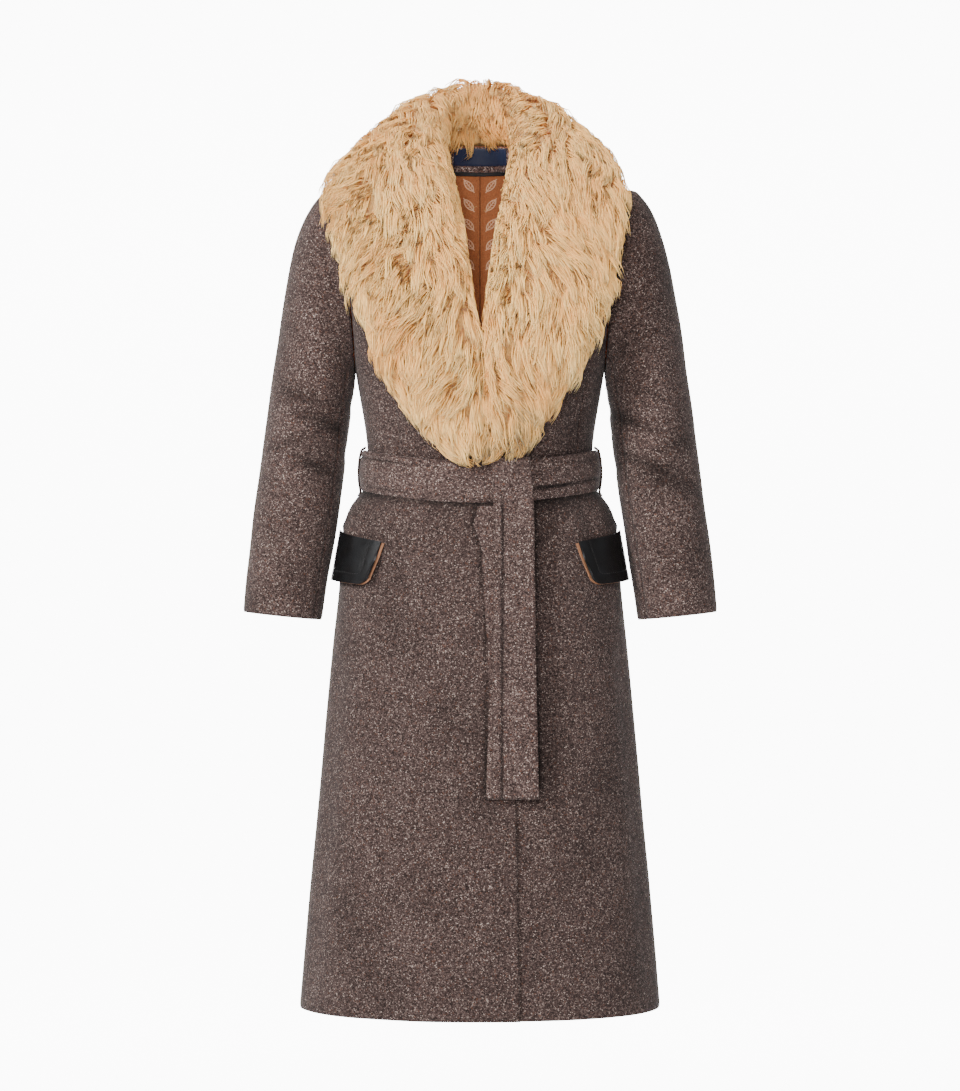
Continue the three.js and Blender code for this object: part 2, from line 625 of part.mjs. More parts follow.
function beltBand() {
  const steps = 56;
  const rise = [-1, -0.62, 0, 0.62, 1];
  const crown = [1.6, 3.6, 4.2, 2.6, 0.4];
  const loops = [];
  for (let step = 0; step < steps; step += 1) {
    const turn = radians(-90) + radians(360) * step / steps;
    const middle = roundPoint(turn, beltSideHeight);
    const away = unit([middle[0] / 1.9, middle[1], 0]);
    const inner = rise.map((share) =>
      add(roundPoint(turn, beltSideHeight + share * beltWidth / 2), away, 1.1));
    const outer = rise.map((share, at) => {
      const base = add(middle, away, 6.6 + crown[at]);
      return [base[0], base[1], middle[2] + share * beltWidth / 2];
    });
    for (let at = 0; at < rise.length; at += 1) {
      const gap = (outer[at][0] - inner[at][0]) * away[0] + (outer[at][1] - inner[at][1]) * away[1];
      if (gap < 2) outer[at] = add(outer[at], away, 2 - gap);
    }
    loops.push([...inner, ...outer.reverse()]);
  }
  return loopGeometry(loops, true);
}

// The upper front's outer face at a place seen from the front
function frontDepth(x, z) {
  const half = lookup(bodySections, z, 'half');
  const depth = lookup(bodySections, z, 'front');
  return depth * (1 - (Math.abs(x) / half) ** squareness) ** (1 / squareness) + overlapLift;
}

const endThickness = 4.5;
const flatFrom = 34;         // the front end lies flat past this x, clear of the skirt
const beltFace = 119.5;      // how far forward of the middle the front end crosses the band

// The two loose ends: x of the left and right edge by height, "base" is the layer beneath
const frontEnd = [
  { z: -405, left: 13, right: 62, y: beltFace },
  { z: -416, left: 15, right: 64, y: beltFace + 1 },
  { z: -434, left: 16.5, right: 66, y: beltFace + 1.5 },
  { z: -456, left: 16.8, right: 67, y: beltFace + 2.5 },
  { z: -480, left: 17, right: 67.5, y: 0 },
  { z: -506, left: 17, right: 67.8, y: 0 },
  { z: -540, left: 17, right: 68, y: 0 },
  { z: -610, left: 16.4, right: 69, y: 0 },
  { z: -680, left: 15.5, right: 70, y: 0 },
  { z: -750, left: 14.6, right: 71.5, y: 0 },
  { z: -819, left: 14, right: 73, y: 0 },
];
const backEnd = [
  { z: -457, left: -3, right: 46 },
  { z: -480, left: -8.5, right: 44 },
  { z: -506, left: 1, right: 52 },
  { z: -540, left: 3.4, right: 55 },
  { z: -610, left: 7.6, right: 58 },
  { z: -680, left: 11, right: 60 },
  { z: -750, left: 9.5, right: 61 },
  { z: -820, left: 7.2, right: 62 },
];

function strip(rows, depthAt, thickness) {
  const columns = 5;
  const layer = (extra) => rows.map((row) => {
    const line = [];
    for (let column = 0; column < columns; column += 1) {
      const x = mix(row.left, row.right, column / (columns - 1));
      line.push([x, -(depthAt(x, row) + extra), row.z]);
    }
    return line;
  });
  return { outer: layer(thickness), inner: layer(0) };
}

function beltBackEnd() {
  const { outer, inner } = strip(backEnd, (x, row) => frontDepth(x, row.z) + 0.9, endThickness);
  return wallGeometry(outer, inner);
}

// The front end bends back over the band's upper edge before it hangs down
function beltFrontEnd() {
  const hang = (x, row) => Math.max(row.y, frontDepth(Math.min(flatFrom, x), row.z) + endThickness + 2);
  const { outer, inner } = strip(frontEnd, hang, endThickness);
  const fold = [
    { back: 9, rise: 9 },
    { back: 1.5, rise: 8.2 },
  ];
  const top = frontEnd[0];
  const bent = (extra) => fold.map(({ back, rise }) => outer[0].map((point) => [
    point[0],
    -(beltFace + endThickness * 0.5 - back) - extra * 0.2,
    top.z + rise - endThickness + extra,
  ]));
  return wallGeometry([...bent(endThickness), ...outer], [...bent(0), ...inner]);
}

// Pocket flaps lie on the fronts below the waist and stand off towards their lower edge
const flapTop = -486;
const flapBottom = -549;
const flapSlant = 7.5;
const flapStart = 3;         // degrees from the side seam
const flapCorner = 14;

function flapGrid(side, { endX, slope, offset, lower }) {
  const columns = 9;
  const rows = 5;
  const grid = [];
  for (let row = 0; row <= rows; row += 1) {
    const v = row / rows;
    const line = [];
    for (let column = 0; column <= columns; column += 1) {
      const u = column / columns;
      const cut = clamp01((u - 0.84) / 0.16);
      const bottom = flapBottom - 4 * u - lower + flapCorner * (1 - Math.sqrt(1 - cut * cut));
      const z = mix(flapTop - flapSlant * u, bottom, v);
      const endAngle = Math.acos(mix(endX, endX + slope, v) / (lookup(bodySections, z, 'half') * 1.02));
      const angle = mix(radians(flapStart), endAngle, u);
      const point = bodyPoint(side, angle, z);
      const away = unit([point[0], point[1] * 1.9, 0]);
      line.push(mirrored(side, add(point, away, offset + 6.4 * v ** 1.25)));
    }
    grid.push(line);
  }
  return grid;
}

function flap(side, { endX, slope, offset, thickness, lower }) {
  const inner = flapGrid(side, { endX, slope, offset, lower });
  const outer = flapGrid(side, { endX, slope, offset: offset + thickness, lower });
  return wallGeometry(outer, inner);
}
const flapLeather = { endX: 124, slope: 19, offset: 2.6, thickness: 2.4, lower: 0 };
const flapLining = { endX: 120.5, slope: 19, offset: 1, thickness: 1.2, lower: 1 };

// A loop of cloth at each side seam carries the belt
function beltLoop(side) {
  const width = 9;
  const thick = 2;
  const profile = [
    { z: -379, out: 1.2 },
    { z: -383, out: 9 },
    { z: -396, out: 11.6 },
    { z: -410, out: 12.2 },
    { z: -424, out: 11.8 },
    { z: -437.5, out: 10.6 },
    { z: -442, out: 6.5 },
  ];
  const half = lookup(bodySections, beltSideHeight, 'half');
  const seatX = (z) => lookup(bodySections, z, 'half') + 0.6;
  const line = (extra) => profile.map(({ z, out }) => [-0.5, 0.5].map((share) =>
    mirrored(side, [Math.max(seatX(z), half + out) + extra, share * width, z])));
  return wallGeometry(line(thick), line(0));
}

// Facing, binding and label lie on the inner side of the back, below the neck seam
function neckPiece({ reach, top, bottom, inset, thickness, columns }) {
  const height = (way) => backPoint(1, 1, way)[2];
  const wayAt = (drop) => {
    let way = 0;
    while (napeHeight - height(way) < drop) way += 0.001;
    return way;
  };
  const rows = [wayAt(top), wayAt((top + bottom) / 2), wayAt(bottom)];
  const layer = (depth) => rows.map((way) => {
    const line = [];
    for (let column = -columns; column <= columns; column += 1) {
      const share = Math.abs(column) / columns;
      const s = 1 - (1 - neckShare) * reach * share;
      const point = backPoint(1, s, way);
      const moved = add(point, surfaceNormal(backPoint, 1, s, way), -(cloth + depth));
      line.push([moved[0] * Math.sign(column), moved[1], moved[2]]);
    }
    return line;
  });
  return wallGeometry(layer(inset), layer(inset + thickness));
}
const neckFacing = { reach: 5 / 6, top: 1, bottom: 33, inset: 1.2, thickness: 1.2, columns: 5 };
const neckBinding = { reach: 5 / 6, top: 33.4, bottom: 37.4, inset: 1, thickness: 2.4, columns: 5 };
const neckLabel = { reach: 2 / 6, top: 2.5, bottom: 24.5, inset: 2.8, thickness: 0.8, columns: 2 };

const coat = new THREE.Group();
for (const [side, name] of [[1, 'left'], [-1, 'right']]) {
  const upper = sleevePanel(side, sleeveBackSeam - sleeveSteps, sleeveFrontSeam);
  const under = sleevePanel(side, sleeveFrontSeam, sleeveBackSeam);
  coat.add(
    mesh(`back_${name}`, bodyPanel(side, false), tweed),
    mesh(`front_${name}`, bodyPanel(side, true), tweed),
    mesh(`sleeve_upper_${name}`, upper, tweed),
    mesh(`sleeve_under_${name}`, under, tweed),
    mesh(`collar_${name}`, collarHalf(side), fur),
    mesh(`pocket_flap_${name}`, flap(side, flapLeather), blackLeather),
    mesh(`flap_lining_${name}`, flap(side, flapLining), tanLeather),
    mesh(`belt_loop_${name}`, beltLoop(side), tweed),
  );
}
coat.add(
  mesh('belt_band', beltBand(), tweed),
  mesh('belt_end_front', beltFrontEnd(), tweed),
  mesh('belt_end_back', beltBackEnd(), tweed),
  mesh('neck_facing', neckPiece(neckFacing), tweed),
  mesh('neck_binding', neckPiece(neckBinding), blackBinding),
  mesh('neck_label', neckPiece(neckLabel), navySatin),
);

export default coat;
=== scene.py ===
import functools
import math

import bmesh
import bpy
import numpy as np
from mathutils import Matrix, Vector


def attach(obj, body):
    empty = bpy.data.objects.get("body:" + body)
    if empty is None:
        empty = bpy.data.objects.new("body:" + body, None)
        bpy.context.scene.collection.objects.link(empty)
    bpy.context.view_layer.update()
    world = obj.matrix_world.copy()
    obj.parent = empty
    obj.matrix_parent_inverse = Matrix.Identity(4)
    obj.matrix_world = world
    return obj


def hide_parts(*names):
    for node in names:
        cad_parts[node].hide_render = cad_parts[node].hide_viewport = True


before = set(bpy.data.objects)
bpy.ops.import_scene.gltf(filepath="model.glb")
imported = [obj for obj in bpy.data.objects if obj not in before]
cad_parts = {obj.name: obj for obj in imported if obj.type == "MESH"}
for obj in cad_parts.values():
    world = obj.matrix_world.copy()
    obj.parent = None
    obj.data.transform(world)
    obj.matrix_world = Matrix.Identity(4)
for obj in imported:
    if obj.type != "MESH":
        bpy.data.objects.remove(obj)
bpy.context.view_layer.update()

# Everything is worked out in millimetres in the coat's own frame and turned to metres
# when a piece gets its vertices. +Z is up, -Y is the front. Side 1 is the wearer's left.
metre = 0.001

coat = dict(
    cloth=2.5,
    seamGap=0.3,
    overlapLift=4.2,
    squareness=2.2,
    armpitHeight=-288,
    hemHeight=-1094,
    shoulderTip=(190, 3, -50),
    sideNeck=(72, 15, 6),
    napeDepth=85,
    napeHeight=17,
    waistDip=17,
    lapBelow=100,
    meetTop=(1, -234),
    meetEnd=(8, -400),
)

# Body sections by height: half width, depth in front, depth behind
bodySections = [
    (-200, 168, 130, 119), (-288, 158.3, 124, 112), (-320, 153, 118, 106), (-346, 148.5, 112, 101),
    (-371, 145, 106, 96), (-390, 143.6, 103, 93), (-412, 143.6, 102, 92), (-428, 145.6, 103, 94),
    (-440, 153, 109, 100), (-452, 163, 113, 106), (-472, 172, 118, 113), (-500, 176, 122, 120),
    (-563, 180.6, 126, 127), (-627, 187.5, 128.5, 131), (-704, 195, 131, 135), (-781, 202, 134, 138),
    (-858, 209, 137, 141), (-934, 216.5, 140, 144), (-1011, 223.4, 143, 147), (-1094, 230.4, 146, 150),
]
halfWidth, frontDepth, backDepth = 1, 2, 3

# How far each front reaches past the middle: height, upper front, lower front
lapEdge = [
    (-288, 2.3, 2), (-340, 4.5, 4), (-393, 6.8, 7), (-425, 24, 26),
    (-450, 34, 42), (-520, 38, 50), (-820, 44.8, 56), (-1094, 49.5, 60),
]
neckEdge = [(6, -127, -245), (22, -122, -190), (41, -104, -124), (61, -54, -46)]

# Soft folds: side, angle from the side seam (behind is negative), half width in degrees, depth, top, bottom
bodyFolds = [
    (1, 38, 5.5, -5, -432, -540), (1, 62, 8, -2.6, -436, -760),
    (-1, 57, 7, -3.2, -436, -640), (-1, 36, 6, -2.8, -436, -540),
    (1, 22, 9, -3.4, -620, -1120), (-1, 24, 10, -3.6, -640, -1120),
    (1, -34, 10, -5, -440, -1120), (-1, -38, 11, -4.6, -445, -1120),
    (1, -64, 8, -4, -438, -900), (-1, -60, 8, -4.4, -438, -980),
    (1, 40, 7, -3, -300, -412), (-1, 44, 7, -2.6, -310, -412),
    (1, -48, 8, -3.6, -250, -412), (-1, -52, 8, -3.2, -260, -412),
]

# Sleeve rings: outer x, z, inner x, z, depth in front, behind, middle in y, notch
sleeveRings = [
    (190, -50, 158.6, -288, 62, 68, 3, 6), (202, -56.5, 159, -289.6, 65, 70, 3, 4),
    (214.5, -70, 159.4, -291.2, 67, 71, 3, 2), (226, -91, 159.8, -293, 68, 72, 2, 1),
    (236, -119, 160, -295, 69, 72, 2, 0), (243.5, -150, 160.2, -297.4, 70, 72, 1, 0),
    (249.8, -184, 160.4, -300, 70, 72, 1, 0), (255.6, -219, 160.8, -303, 70, 72, 0, 0),
    (261, -256, 161.4, -306.4, 70, 71, 0, 0), (266, -294, 162.2, -311, 69, 70, 0, 0),
    (272, -338, 166.8, -352, 67, 68, -1, 0), (278.8, -390, 172.4, -404, 65, 65, -2, 0),
    (285.9, -442, 179, -456, 62, 62, -5, 0), (292.4, -494, 187, -508, 58, 58, -9, 0),
    (298.4, -545, 195, -557, 54, 54, -13, 0), (302.2, -590, 201.3, -600.5, 50, 50, -17, 0),
]


def mix(a, b, t):
    return a + (b - a) * t


def clamp01(t):
    return min(1.0, max(0.0, t))


def smooth(start, end, value):
    t = clamp01((value - start) / (end - start))
    return t * t * (3 - 2 * t)


def bump(offset, width):
    # a soft bump, 1 at 0 and gone at about twice its width, for numbers and arrays
    return np.exp(-(offset / width) ** 2)


def gate(value, soft):
    # 0 far below 0 and 1 far above it
    return 1 / (1 + np.exp(-value / soft))


def sideName(side):
    return "left" if side > 0 else "right"


def add(a, b, scale=1.0):
    return (a[0] + b[0] * scale, a[1] + b[1] * scale, a[2] + b[2] * scale)


def minus(a, b):
    return (a[0] - b[0], a[1] - b[1], a[2] - b[2])


def cross(a, b):
    return (a[1] * b[2] - a[2] * b[1], a[2] * b[0] - a[0] * b[2], a[0] * b[1] - a[1] * b[0])


def dot(a, b):
    return a[0] * b[0] + a[1] * b[1] + a[2] * b[2]


def unit(a):
    size = math.sqrt(dot(a, a)) or 1.0
    return (a[0] / size, a[1] / size, a[2] / size)


def mixPoint(a, b, t):
    return tuple(mix(a[axis], b[axis], t) for axis in range(3))


def lookup(table, z, column):
    # smooth curve through a table's column by its first value, from the top row down
    row = 0
    while row < len(table) - 2 and z < table[row + 1][0]:
        row += 1

    def slope(start, end):
        return (table[end][column] - table[start][column]) / (table[end][0] - table[start][0])
    last = len(table) - 1
    startSlope = slope(max(0, row - 1), row + 1)
    endSlope = slope(row, min(last, row + 2))
    length = table[row + 1][0] - table[row][0]
    t = clamp01((z - table[row][0]) / length)
    bend = t * t * (3 - 2 * t)
    return (mix(table[row][column], table[row + 1][column], bend)
            + length * t * (1 - t) * ((1 - t) * startSlope - t * endSlope))


def alongPoints(points, t):
    # a centripetal curve through the points, t from 0 to 1
    place = t * (len(points) - 1)
    at = min(len(points) - 2, int(place))
    share = place - at
    first, second = points[at], points[at + 1]
    before = points[at - 1] if at > 0 else add(add(first, first), second, -1)
    after = points[at + 2] if at + 2 < len(points) else add(add(second, second), first, -1)

    def gap(a, b):
        return max(1e-4, dot(minus(a, b), minus(a, b)) ** 0.25)
    d0, d1, d2 = gap(before, first), gap(first, second), gap(second, after)
    made = []
    for axis in range(3):
        a, b, c, d = before[axis], first[axis], second[axis], after[axis]
        startSlope = ((b - a) / d0 - (c - a) / (d0 + d1) + (c - b) / d1) * d1
        endSlope = ((c - b) / d1 - (d - b) / (d1 + d2) + (d - c) / d2) * d1
        square = -3 * b + 3 * c - 2 * startSlope - endSlope
        cube = 2 * b - 2 * c + startSlope + endSlope
        made.append(b + startSlope * share + square * share ** 2 + cube * share ** 3)
    return tuple(made)


def waistLower(angle, z):
    # the waist line dips towards the front
    facing = max(0.0, math.sin(angle))
    return coat["waistDip"] * facing * facing * smooth(-300, -400, z) * smooth(-600, -450, z)


def foldDepth(side, angle, z):
    depth = 0.0
    for foldSide, foldAngle, width, deep, top, bottom in bodyFolds:
        if foldSide == side:
            reach = smooth(top, top - 26, z) * smooth(bottom, bottom + 70, z)
            depth += deep * bump(math.degrees(angle) - foldAngle, width) * reach
    return depth


def withLift(side, point):
    # the right front is raised where it lies on the left one
    if side > 0:
        return point
    lift = coat["overlapLift"] * smooth(-130, -66, -point[0]) * smooth(-130, -215, point[2])
    return (point[0], point[1] - lift, point[2])


@functools.lru_cache(maxsize=None)
def bodyPoint(side, angle, z):
    # a point of the body below the armpit, the angle starts at the side seam and forward is positive
    half = lookup(bodySections, z, halfWidth)
    depth = lookup(bodySections, z, frontDepth if angle > 0 else backDepth)
    across, along = math.cos(angle), math.sin(angle)
    power = coat["squareness"]
    wide = (abs(across) ** power + abs(along) ** power) ** (-1 / power)
    fold = foldDepth(side, angle, z)
    return ((half * wide + fold) * across, -(depth * wide + fold) * along, z - waistLower(angle, z))


def edgeAngle(side, z):
    past = lookup(lapEdge, z, 1 if side < 0 else 2)
    return math.acos(-past / lookup(bodySections, z, halfWidth))


def sleevePoint(ring, turn):
    # turn 0 is the outer side of a sleeve ring, forward is positive
    outX, outZ, inX, inZ, front, back, midY, notch = ring
    forward = math.sin(turn)
    depth = front if forward > 0 else back
    share = (1 - math.cos(turn)) / 2
    return (mix(outX, inX, share) - notch * forward * forward, midY - depth * forward, mix(outZ, inZ, share))


def shoulderLine(s):
    return mixPoint(coat["shoulderTip"], coat["sideNeck"], s)


neckShare = 0.5  # of the back's upper edge, the rest lies along the shoulder


def backTop(s):
    if s <= neckShare:
        return shoulderLine(s / neckShare)
    turn = math.radians(90) * (s - neckShare) / (1 - neckShare)
    side = coat["sideNeck"]
    return (side[0] * math.cos(turn), mix(side[1], coat["napeDepth"], math.sin(turn)),
            mix(side[2], coat["napeHeight"], math.sin(turn)))


@functools.lru_cache(maxsize=None)
def panelEdge(name, side, t):
    # the four edges of the part of a front or back above the armpit
    front, edge = name.split("_")
    front = front == "front"
    if edge == "bottom":
        angle = edgeAngle(side, coat["armpitHeight"]) if front else -math.radians(90)
        return bodyPoint(side, angle * t, coat["armpitHeight"])
    if edge == "top":
        return shoulderLine(t) if front else backTop(t)
    if edge == "left":
        return sleevePoint(sleeveRings[0], math.pi * ((1 - t) if front else (1 + t)))
    start = panelEdge(f"{'front' if front else 'back'}_bottom", side, 1)
    if front:
        return alongPoints([start, *neckEdge, coat["sideNeck"]], t)
    nape = (0, coat["napeDepth"], coat["napeHeight"])
    return alongPoints([start, (0, 119, -200), (0, 119, -120), (0, 107, -45), nape], t)


def panelPoint(front, side, s, way):
    # s runs from the side seam to the middle, way from the shoulder (0) to the armpit (1) and down
    if way >= 1:
        z = coat["armpitHeight"] - (way - 1) * coat["lapBelow"]
        angle = edgeAngle(side, z) * s if front else -math.radians(90) * s
        point = bodyPoint(side, angle, z)
    else:
        t = 1 - way
        name = "front" if front else "back"
        bottom, top = panelEdge(f"{name}_bottom", side, s), panelEdge(f"{name}_top", side, s)
        left, right = panelEdge(f"{name}_left", side, t), panelEdge(f"{name}_right", side, t)
        b0, b1 = panelEdge(f"{name}_bottom", side, 0), panelEdge(f"{name}_bottom", side, 1)
        t0, t1 = panelEdge(f"{name}_top", side, 0), panelEdge(f"{name}_top", side, 1)
        point = tuple(
            (1 - t) * bottom[i] + t * top[i] + (1 - s) * left[i] + s * right[i]
            - (1 - s) * (1 - t) * b0[i] - s * (1 - t) * b1[i] - (1 - s) * t * t0[i] - s * t * t1[i]
            for i in range(3))
    return withLift(side, point) if front else point


def outward(point):
    return (point[0] * 0.6, point[1], 0.001 + max(0.0, point[2] + 60) * 1.5)


def panelNormal(front, side, s, way, step=0.01):
    def at(aside, below):
        return panelPoint(front, side, clamp01(s + aside), max(0.0, way + below))
    normal = unit(cross(minus(at(step, 0), at(-step, 0)), minus(at(0, step), at(0, -step))))
    return normal if dot(normal, outward(at(0, 0))) > 0 else tuple(-v for v in normal)


# Materials

class Wire:
    # one socket of a shader, so that sums on it add their Math nodes

    def __init__(self, shader, socket):
        self.shader, self.socket = shader, socket

    def math(self, operation, *others):
        return self.shader.node("ShaderNodeMath", dict(operation=operation), [self, *others])

    def other(self, name):
        return Wire(self.shader, self.socket.node.outputs[name])

    def __rsub__(self, value):
        return self.shader.node("ShaderNodeMath", dict(operation="SUBTRACT"), [value, self])

    def __abs__(self):
        return self.math("ABSOLUTE")

    def floor(self):
        return self.math("FLOOR")

    def fraction(self):
        return self.math("FRACT")

    def line(self, middle, half, soft):
        # 1 within half of middle, fading over soft
        return self.shader.node("ShaderNodeMapRange", dict(clamp=True),
                                {0: abs(self - middle), 1: half, 2: half + soft, 3: 1.0, 4: 0.0})

    def ramp(self, start, end, low=0.0, high=1.0):
        return self.shader.node("ShaderNodeMapRange", dict(clamp=True),
                                {0: self, 1: start, 2: end, 3: low, 4: high})


sums = dict(__add__="ADD", __radd__="ADD", __sub__="SUBTRACT", __mul__="MULTIPLY", __rmul__="MULTIPLY",
            __truediv__="DIVIDE", most="MAXIMUM")
for method, operation in sums.items():
    setattr(Wire, method, functools.partialmethod(Wire.math, operation))


class Shader:
    def __init__(self, name, **constants):
        self.material = bpy.data.materials.new(name)
        self.material.use_nodes = True
        self.tree = self.material.node_tree
        self.surface = self.tree.nodes["Principled BSDF"]
        for socket, value in constants.items():
            self.surface.inputs[socket.replace("_", " ")].default_value = value

    def node(self, kind, settings=None, inputs=(), output=0):
        made = self.tree.nodes.new(kind)
        for name, value in (settings or {}).items():
            setattr(made, name, value)
        pairs = inputs.items() if isinstance(inputs, dict) else enumerate(inputs)
        for name, value in pairs:
            if isinstance(value, Wire):
                self.tree.links.new(value.socket, made.inputs[name])
            else:
                made.inputs[name].default_value = value
        return Wire(self, made.outputs[output])

    def blend(self, share, first, second, mode="MIX"):
        # colours: share 0 keeps the first
        sockets = {0: share, 6: first, 7: second}
        return self.node("ShaderNodeMix", dict(data_type="RGBA", blend_type=mode), sockets, 2)

    def objectPlace(self):
        return self.node("ShaderNodeTexCoord", output="Object")

    def grey(self, share):
        return self.node("ShaderNodeCombineColor", {}, [share] * 3)

    def darkened(self, tone, share):
        return self.blend(1.0, tone, self.grey(share), "MULTIPLY")

    def noise(self, place, scale, detail=2.0, rough=0.5):
        return self.node("ShaderNodeTexNoise", {},
                         {"Vector": place, "Scale": scale, "Detail": detail, "Roughness": rough})

    def cells(self, place, scale, feature="F1", output="Color"):
        sockets = {"Vector": place, "Scale": scale}
        return self.node("ShaderNodeTexVoronoi", dict(feature=feature), sockets, output)

    def attribute(self, name):
        return self.node("ShaderNodeAttribute", dict(attribute_name=name), output="Fac")

    def part(self, wire, axis):
        return self.node("ShaderNodeSeparateXYZ", {}, [wire], axis)

    def feed(self, **sockets):
        for name, wire in sockets.items():
            self.tree.links.new(wire.socket, self.surface.inputs[name.replace("_", " ")])

    def relief(self, height, strength, distance):
        made = self.node("ShaderNodeBump", {}, {"Height": height, "Strength": strength, "Distance": distance})
        self.feed(Normal=made)


def colour(tone):
    # from the 0 to 255 of a colour picker to the light values that shaders take
    def linear(value):
        value /= 255
        return value / 12.92 if value <= 0.04045 else ((value + 0.055) / 1.055) ** 2.4
    return (*[linear(value) for value in tone], 1.0)


tweedLook = dict(
    stops=[(0.12, (20, 14, 13)), (0.5, (58, 45, 42)), (0.84, (97, 81, 76)), (0.97, (186, 170, 160))],
    rust=(88, 56, 42), edging=(150, 98, 62), fleck=780, thread=1450, twill=2300, wear=26,
)


def makeTweed(name, edging=0.0, shine=0.08, paintedLight=1.0):
    look = tweedLook
    made = Shader(name, Roughness=0.95, Specular_IOR_Level=shine, Sheen_Weight=shine * 0.7,
                  Sheen_Roughness=0.6)
    place = made.objectPlace()
    wobble = made.noise(place, 900, 1.0)
    nudged = made.node("ShaderNodeVectorMath", dict(operation="MULTIPLY_ADD"),
                       [wobble.other("Color"), (0.0006, 0.0006, 0.0006), place])
    flecks = made.part(made.cells(nudged, look["fleck"]), 0)
    fine = made.part(made.cells(place, look["thread"]), 1)
    rust = made.part(made.cells(nudged, look["fleck"] * 0.8), 2)
    stops = made.node("ShaderNodeValToRGB", {}, [flecks * 0.62 + fine * 0.38])
    marks = stops.socket.node.color_ramp.elements
    marks[0].position, marks[1].position = look["stops"][0][0], look["stops"][-1][0]
    for position, tone in look["stops"][1:-1]:
        marks.new(position)
    for mark, (position, tone) in zip(marks, look["stops"]):
        mark.color = colour(tone)
    tinted = made.blend(rust.ramp(0.95, 0.98) * 0.55, stops, colour(look["rust"]))
    # the whole tone is scaled up here for the lighter copies of this tweed, painted light
    mottle = made.noise(place, look["wear"], 3.0).ramp(0.3, 0.7, 0.92 * paintedLight, 1.07 * paintedLight)
    across, down = made.part(place, 0), made.part(place, 2)
    twill = ((across + down) * look["twill"]).math("SINE").ramp(-1, 1, 0.95, 1.03)
    # the cloth's colour is darkened by up to 80 percent by its painted shade
    shaded = made.darkened(tinted, mottle * twill * (1 - made.attribute("paintedShade") * 0.8))
    made.feed(Base_Color=made.blend(edging, shaded, colour(look["edging"])) if edging else shaded)
    fuzz = made.noise(place, 1500, 3.0, 0.7)
    made.relief(flecks * 0.5 + fuzz * 0.6 + twill * 0.8, 0.55, 0.0006)
    return made.material


# Tones, then in millimetres the sprigs' spacing, length, bow, lines and ribs
innerLook = dict(brown=(190, 118, 76), deep=(156, 90, 54), peach=(240, 188, 150), seam=(84, 46, 26),
                 cell=30, leaf=21, bow=10.5, lean=35, outline=0.62, vein=0.55, rib=0.34, ribPitch=4.4)


def makeInnerCloth():
    # felted brown cloth with a half-drop of small leaf sprigs drawn in a thin light line
    look = innerLook
    made = Shader("innerCloth", Roughness=0.9, Specular_IOR_Level=0.15, Sheen_Weight=0.2, Sheen_Roughness=0.5)
    place = made.node("ShaderNodeUVMap", dict(uv_map="cloth"))
    across, down = made.part(place, 0) * 1000 / look["cell"], made.part(place, 1) * 1000 / look["cell"]
    column = across.floor()
    odd = (column * 0.5).fraction() * 2
    dropped = down + odd * 0.5
    x, y = across.fraction() - 0.5, dropped.fraction() - 0.5
    turn = (odd * 2 - 1) * math.radians(look["lean"])
    cosine, sine = turn.math("COSINE"), turn.math("SINE")
    leafX = (x * cosine + y * sine) * look["cell"]
    leafY = (y * cosine - x * sine) * look["cell"]
    bow, reach = look["bow"], look["leaf"] / 2

    def away(offset):
        return ((leafX - offset).math("POWER", 2.0) + leafY.math("POWER", 2.0)).math("SQRT")
    edge = away(bow).most(away(-bow)) - math.hypot(bow, reach)
    vein = abs(leafX).most(abs(leafY) - reach * 1.18)
    ribs = (abs(leafX) * 0.9 - leafY + 50.0).math("FLOORED_MODULO", look["ribPitch"]) - look["ribPitch"] / 2
    ribs = abs(ribs).most(edge + 1.2)
    drawn = (edge.line(0, look["outline"], 0.4).most(vein.line(0, look["vein"], 0.4))
             .most(ribs.line(0, look["rib"], 0.35)))
    solid = made.objectPlace()
    worn = made.noise(solid, 520, 3.0, 0.7)
    felt = made.noise(solid, 1300, 2.0, 0.6)
    ground = made.blend(worn.ramp(0.3, 0.7), colour(look["deep"]), colour(look["brown"]))
    seam = (made.part(solid, 0) * 1000).line(0, 0.7, 0.9)
    inked = made.blend(drawn * worn.ramp(0.25, 0.5, 0.6, 1.0) * 0.95, ground, colour(look["peach"]))
    made.feed(Base_Color=made.blend(seam * 0.25, inked, colour(look["seam"])))
    made.relief(felt + drawn * 0.4, 0.4, 0.0004)
    return made.material


furLook = dict(root=(246, 182, 98), body=(255, 204, 120), tip=(255, 228, 160), tan=(242, 164, 78),
               smoke=(92, 80, 70), hide=(236, 182, 114))


def makeFur():
    # strands carry how far along the hair a point is, a warm tint and how grey the tips are
    look = furLook
    made = Shader("fur", Roughness=0.62, Specular_IOR_Level=0.28, Sheen_Weight=0.12, Sheen_Roughness=0.4)
    along, warm, smoke = made.attribute("along"), made.attribute("warm"), made.attribute("smoke")
    place = made.objectPlace()
    drift = made.noise(place, 16)
    streak = made.noise(place, 700)
    stem = made.blend(along.ramp(0.0, 0.45), colour(look["root"]), colour(look["body"]))
    haired = made.blend(along.ramp(0.45, 1.0), stem, colour(look["tip"]))
    peach = made.blend(warm * 0.55 + drift.ramp(0.52, 0.72) * 0.3, haired, colour(look["tan"]))
    smoky = made.blend(smoke * along.ramp(0.15, 0.75), peach, colour(look["smoke"]))
    made.feed(Base_Color=made.darkened(smoky, streak.ramp(0.3, 0.7, 0.9, 1.06)))
    return made.material


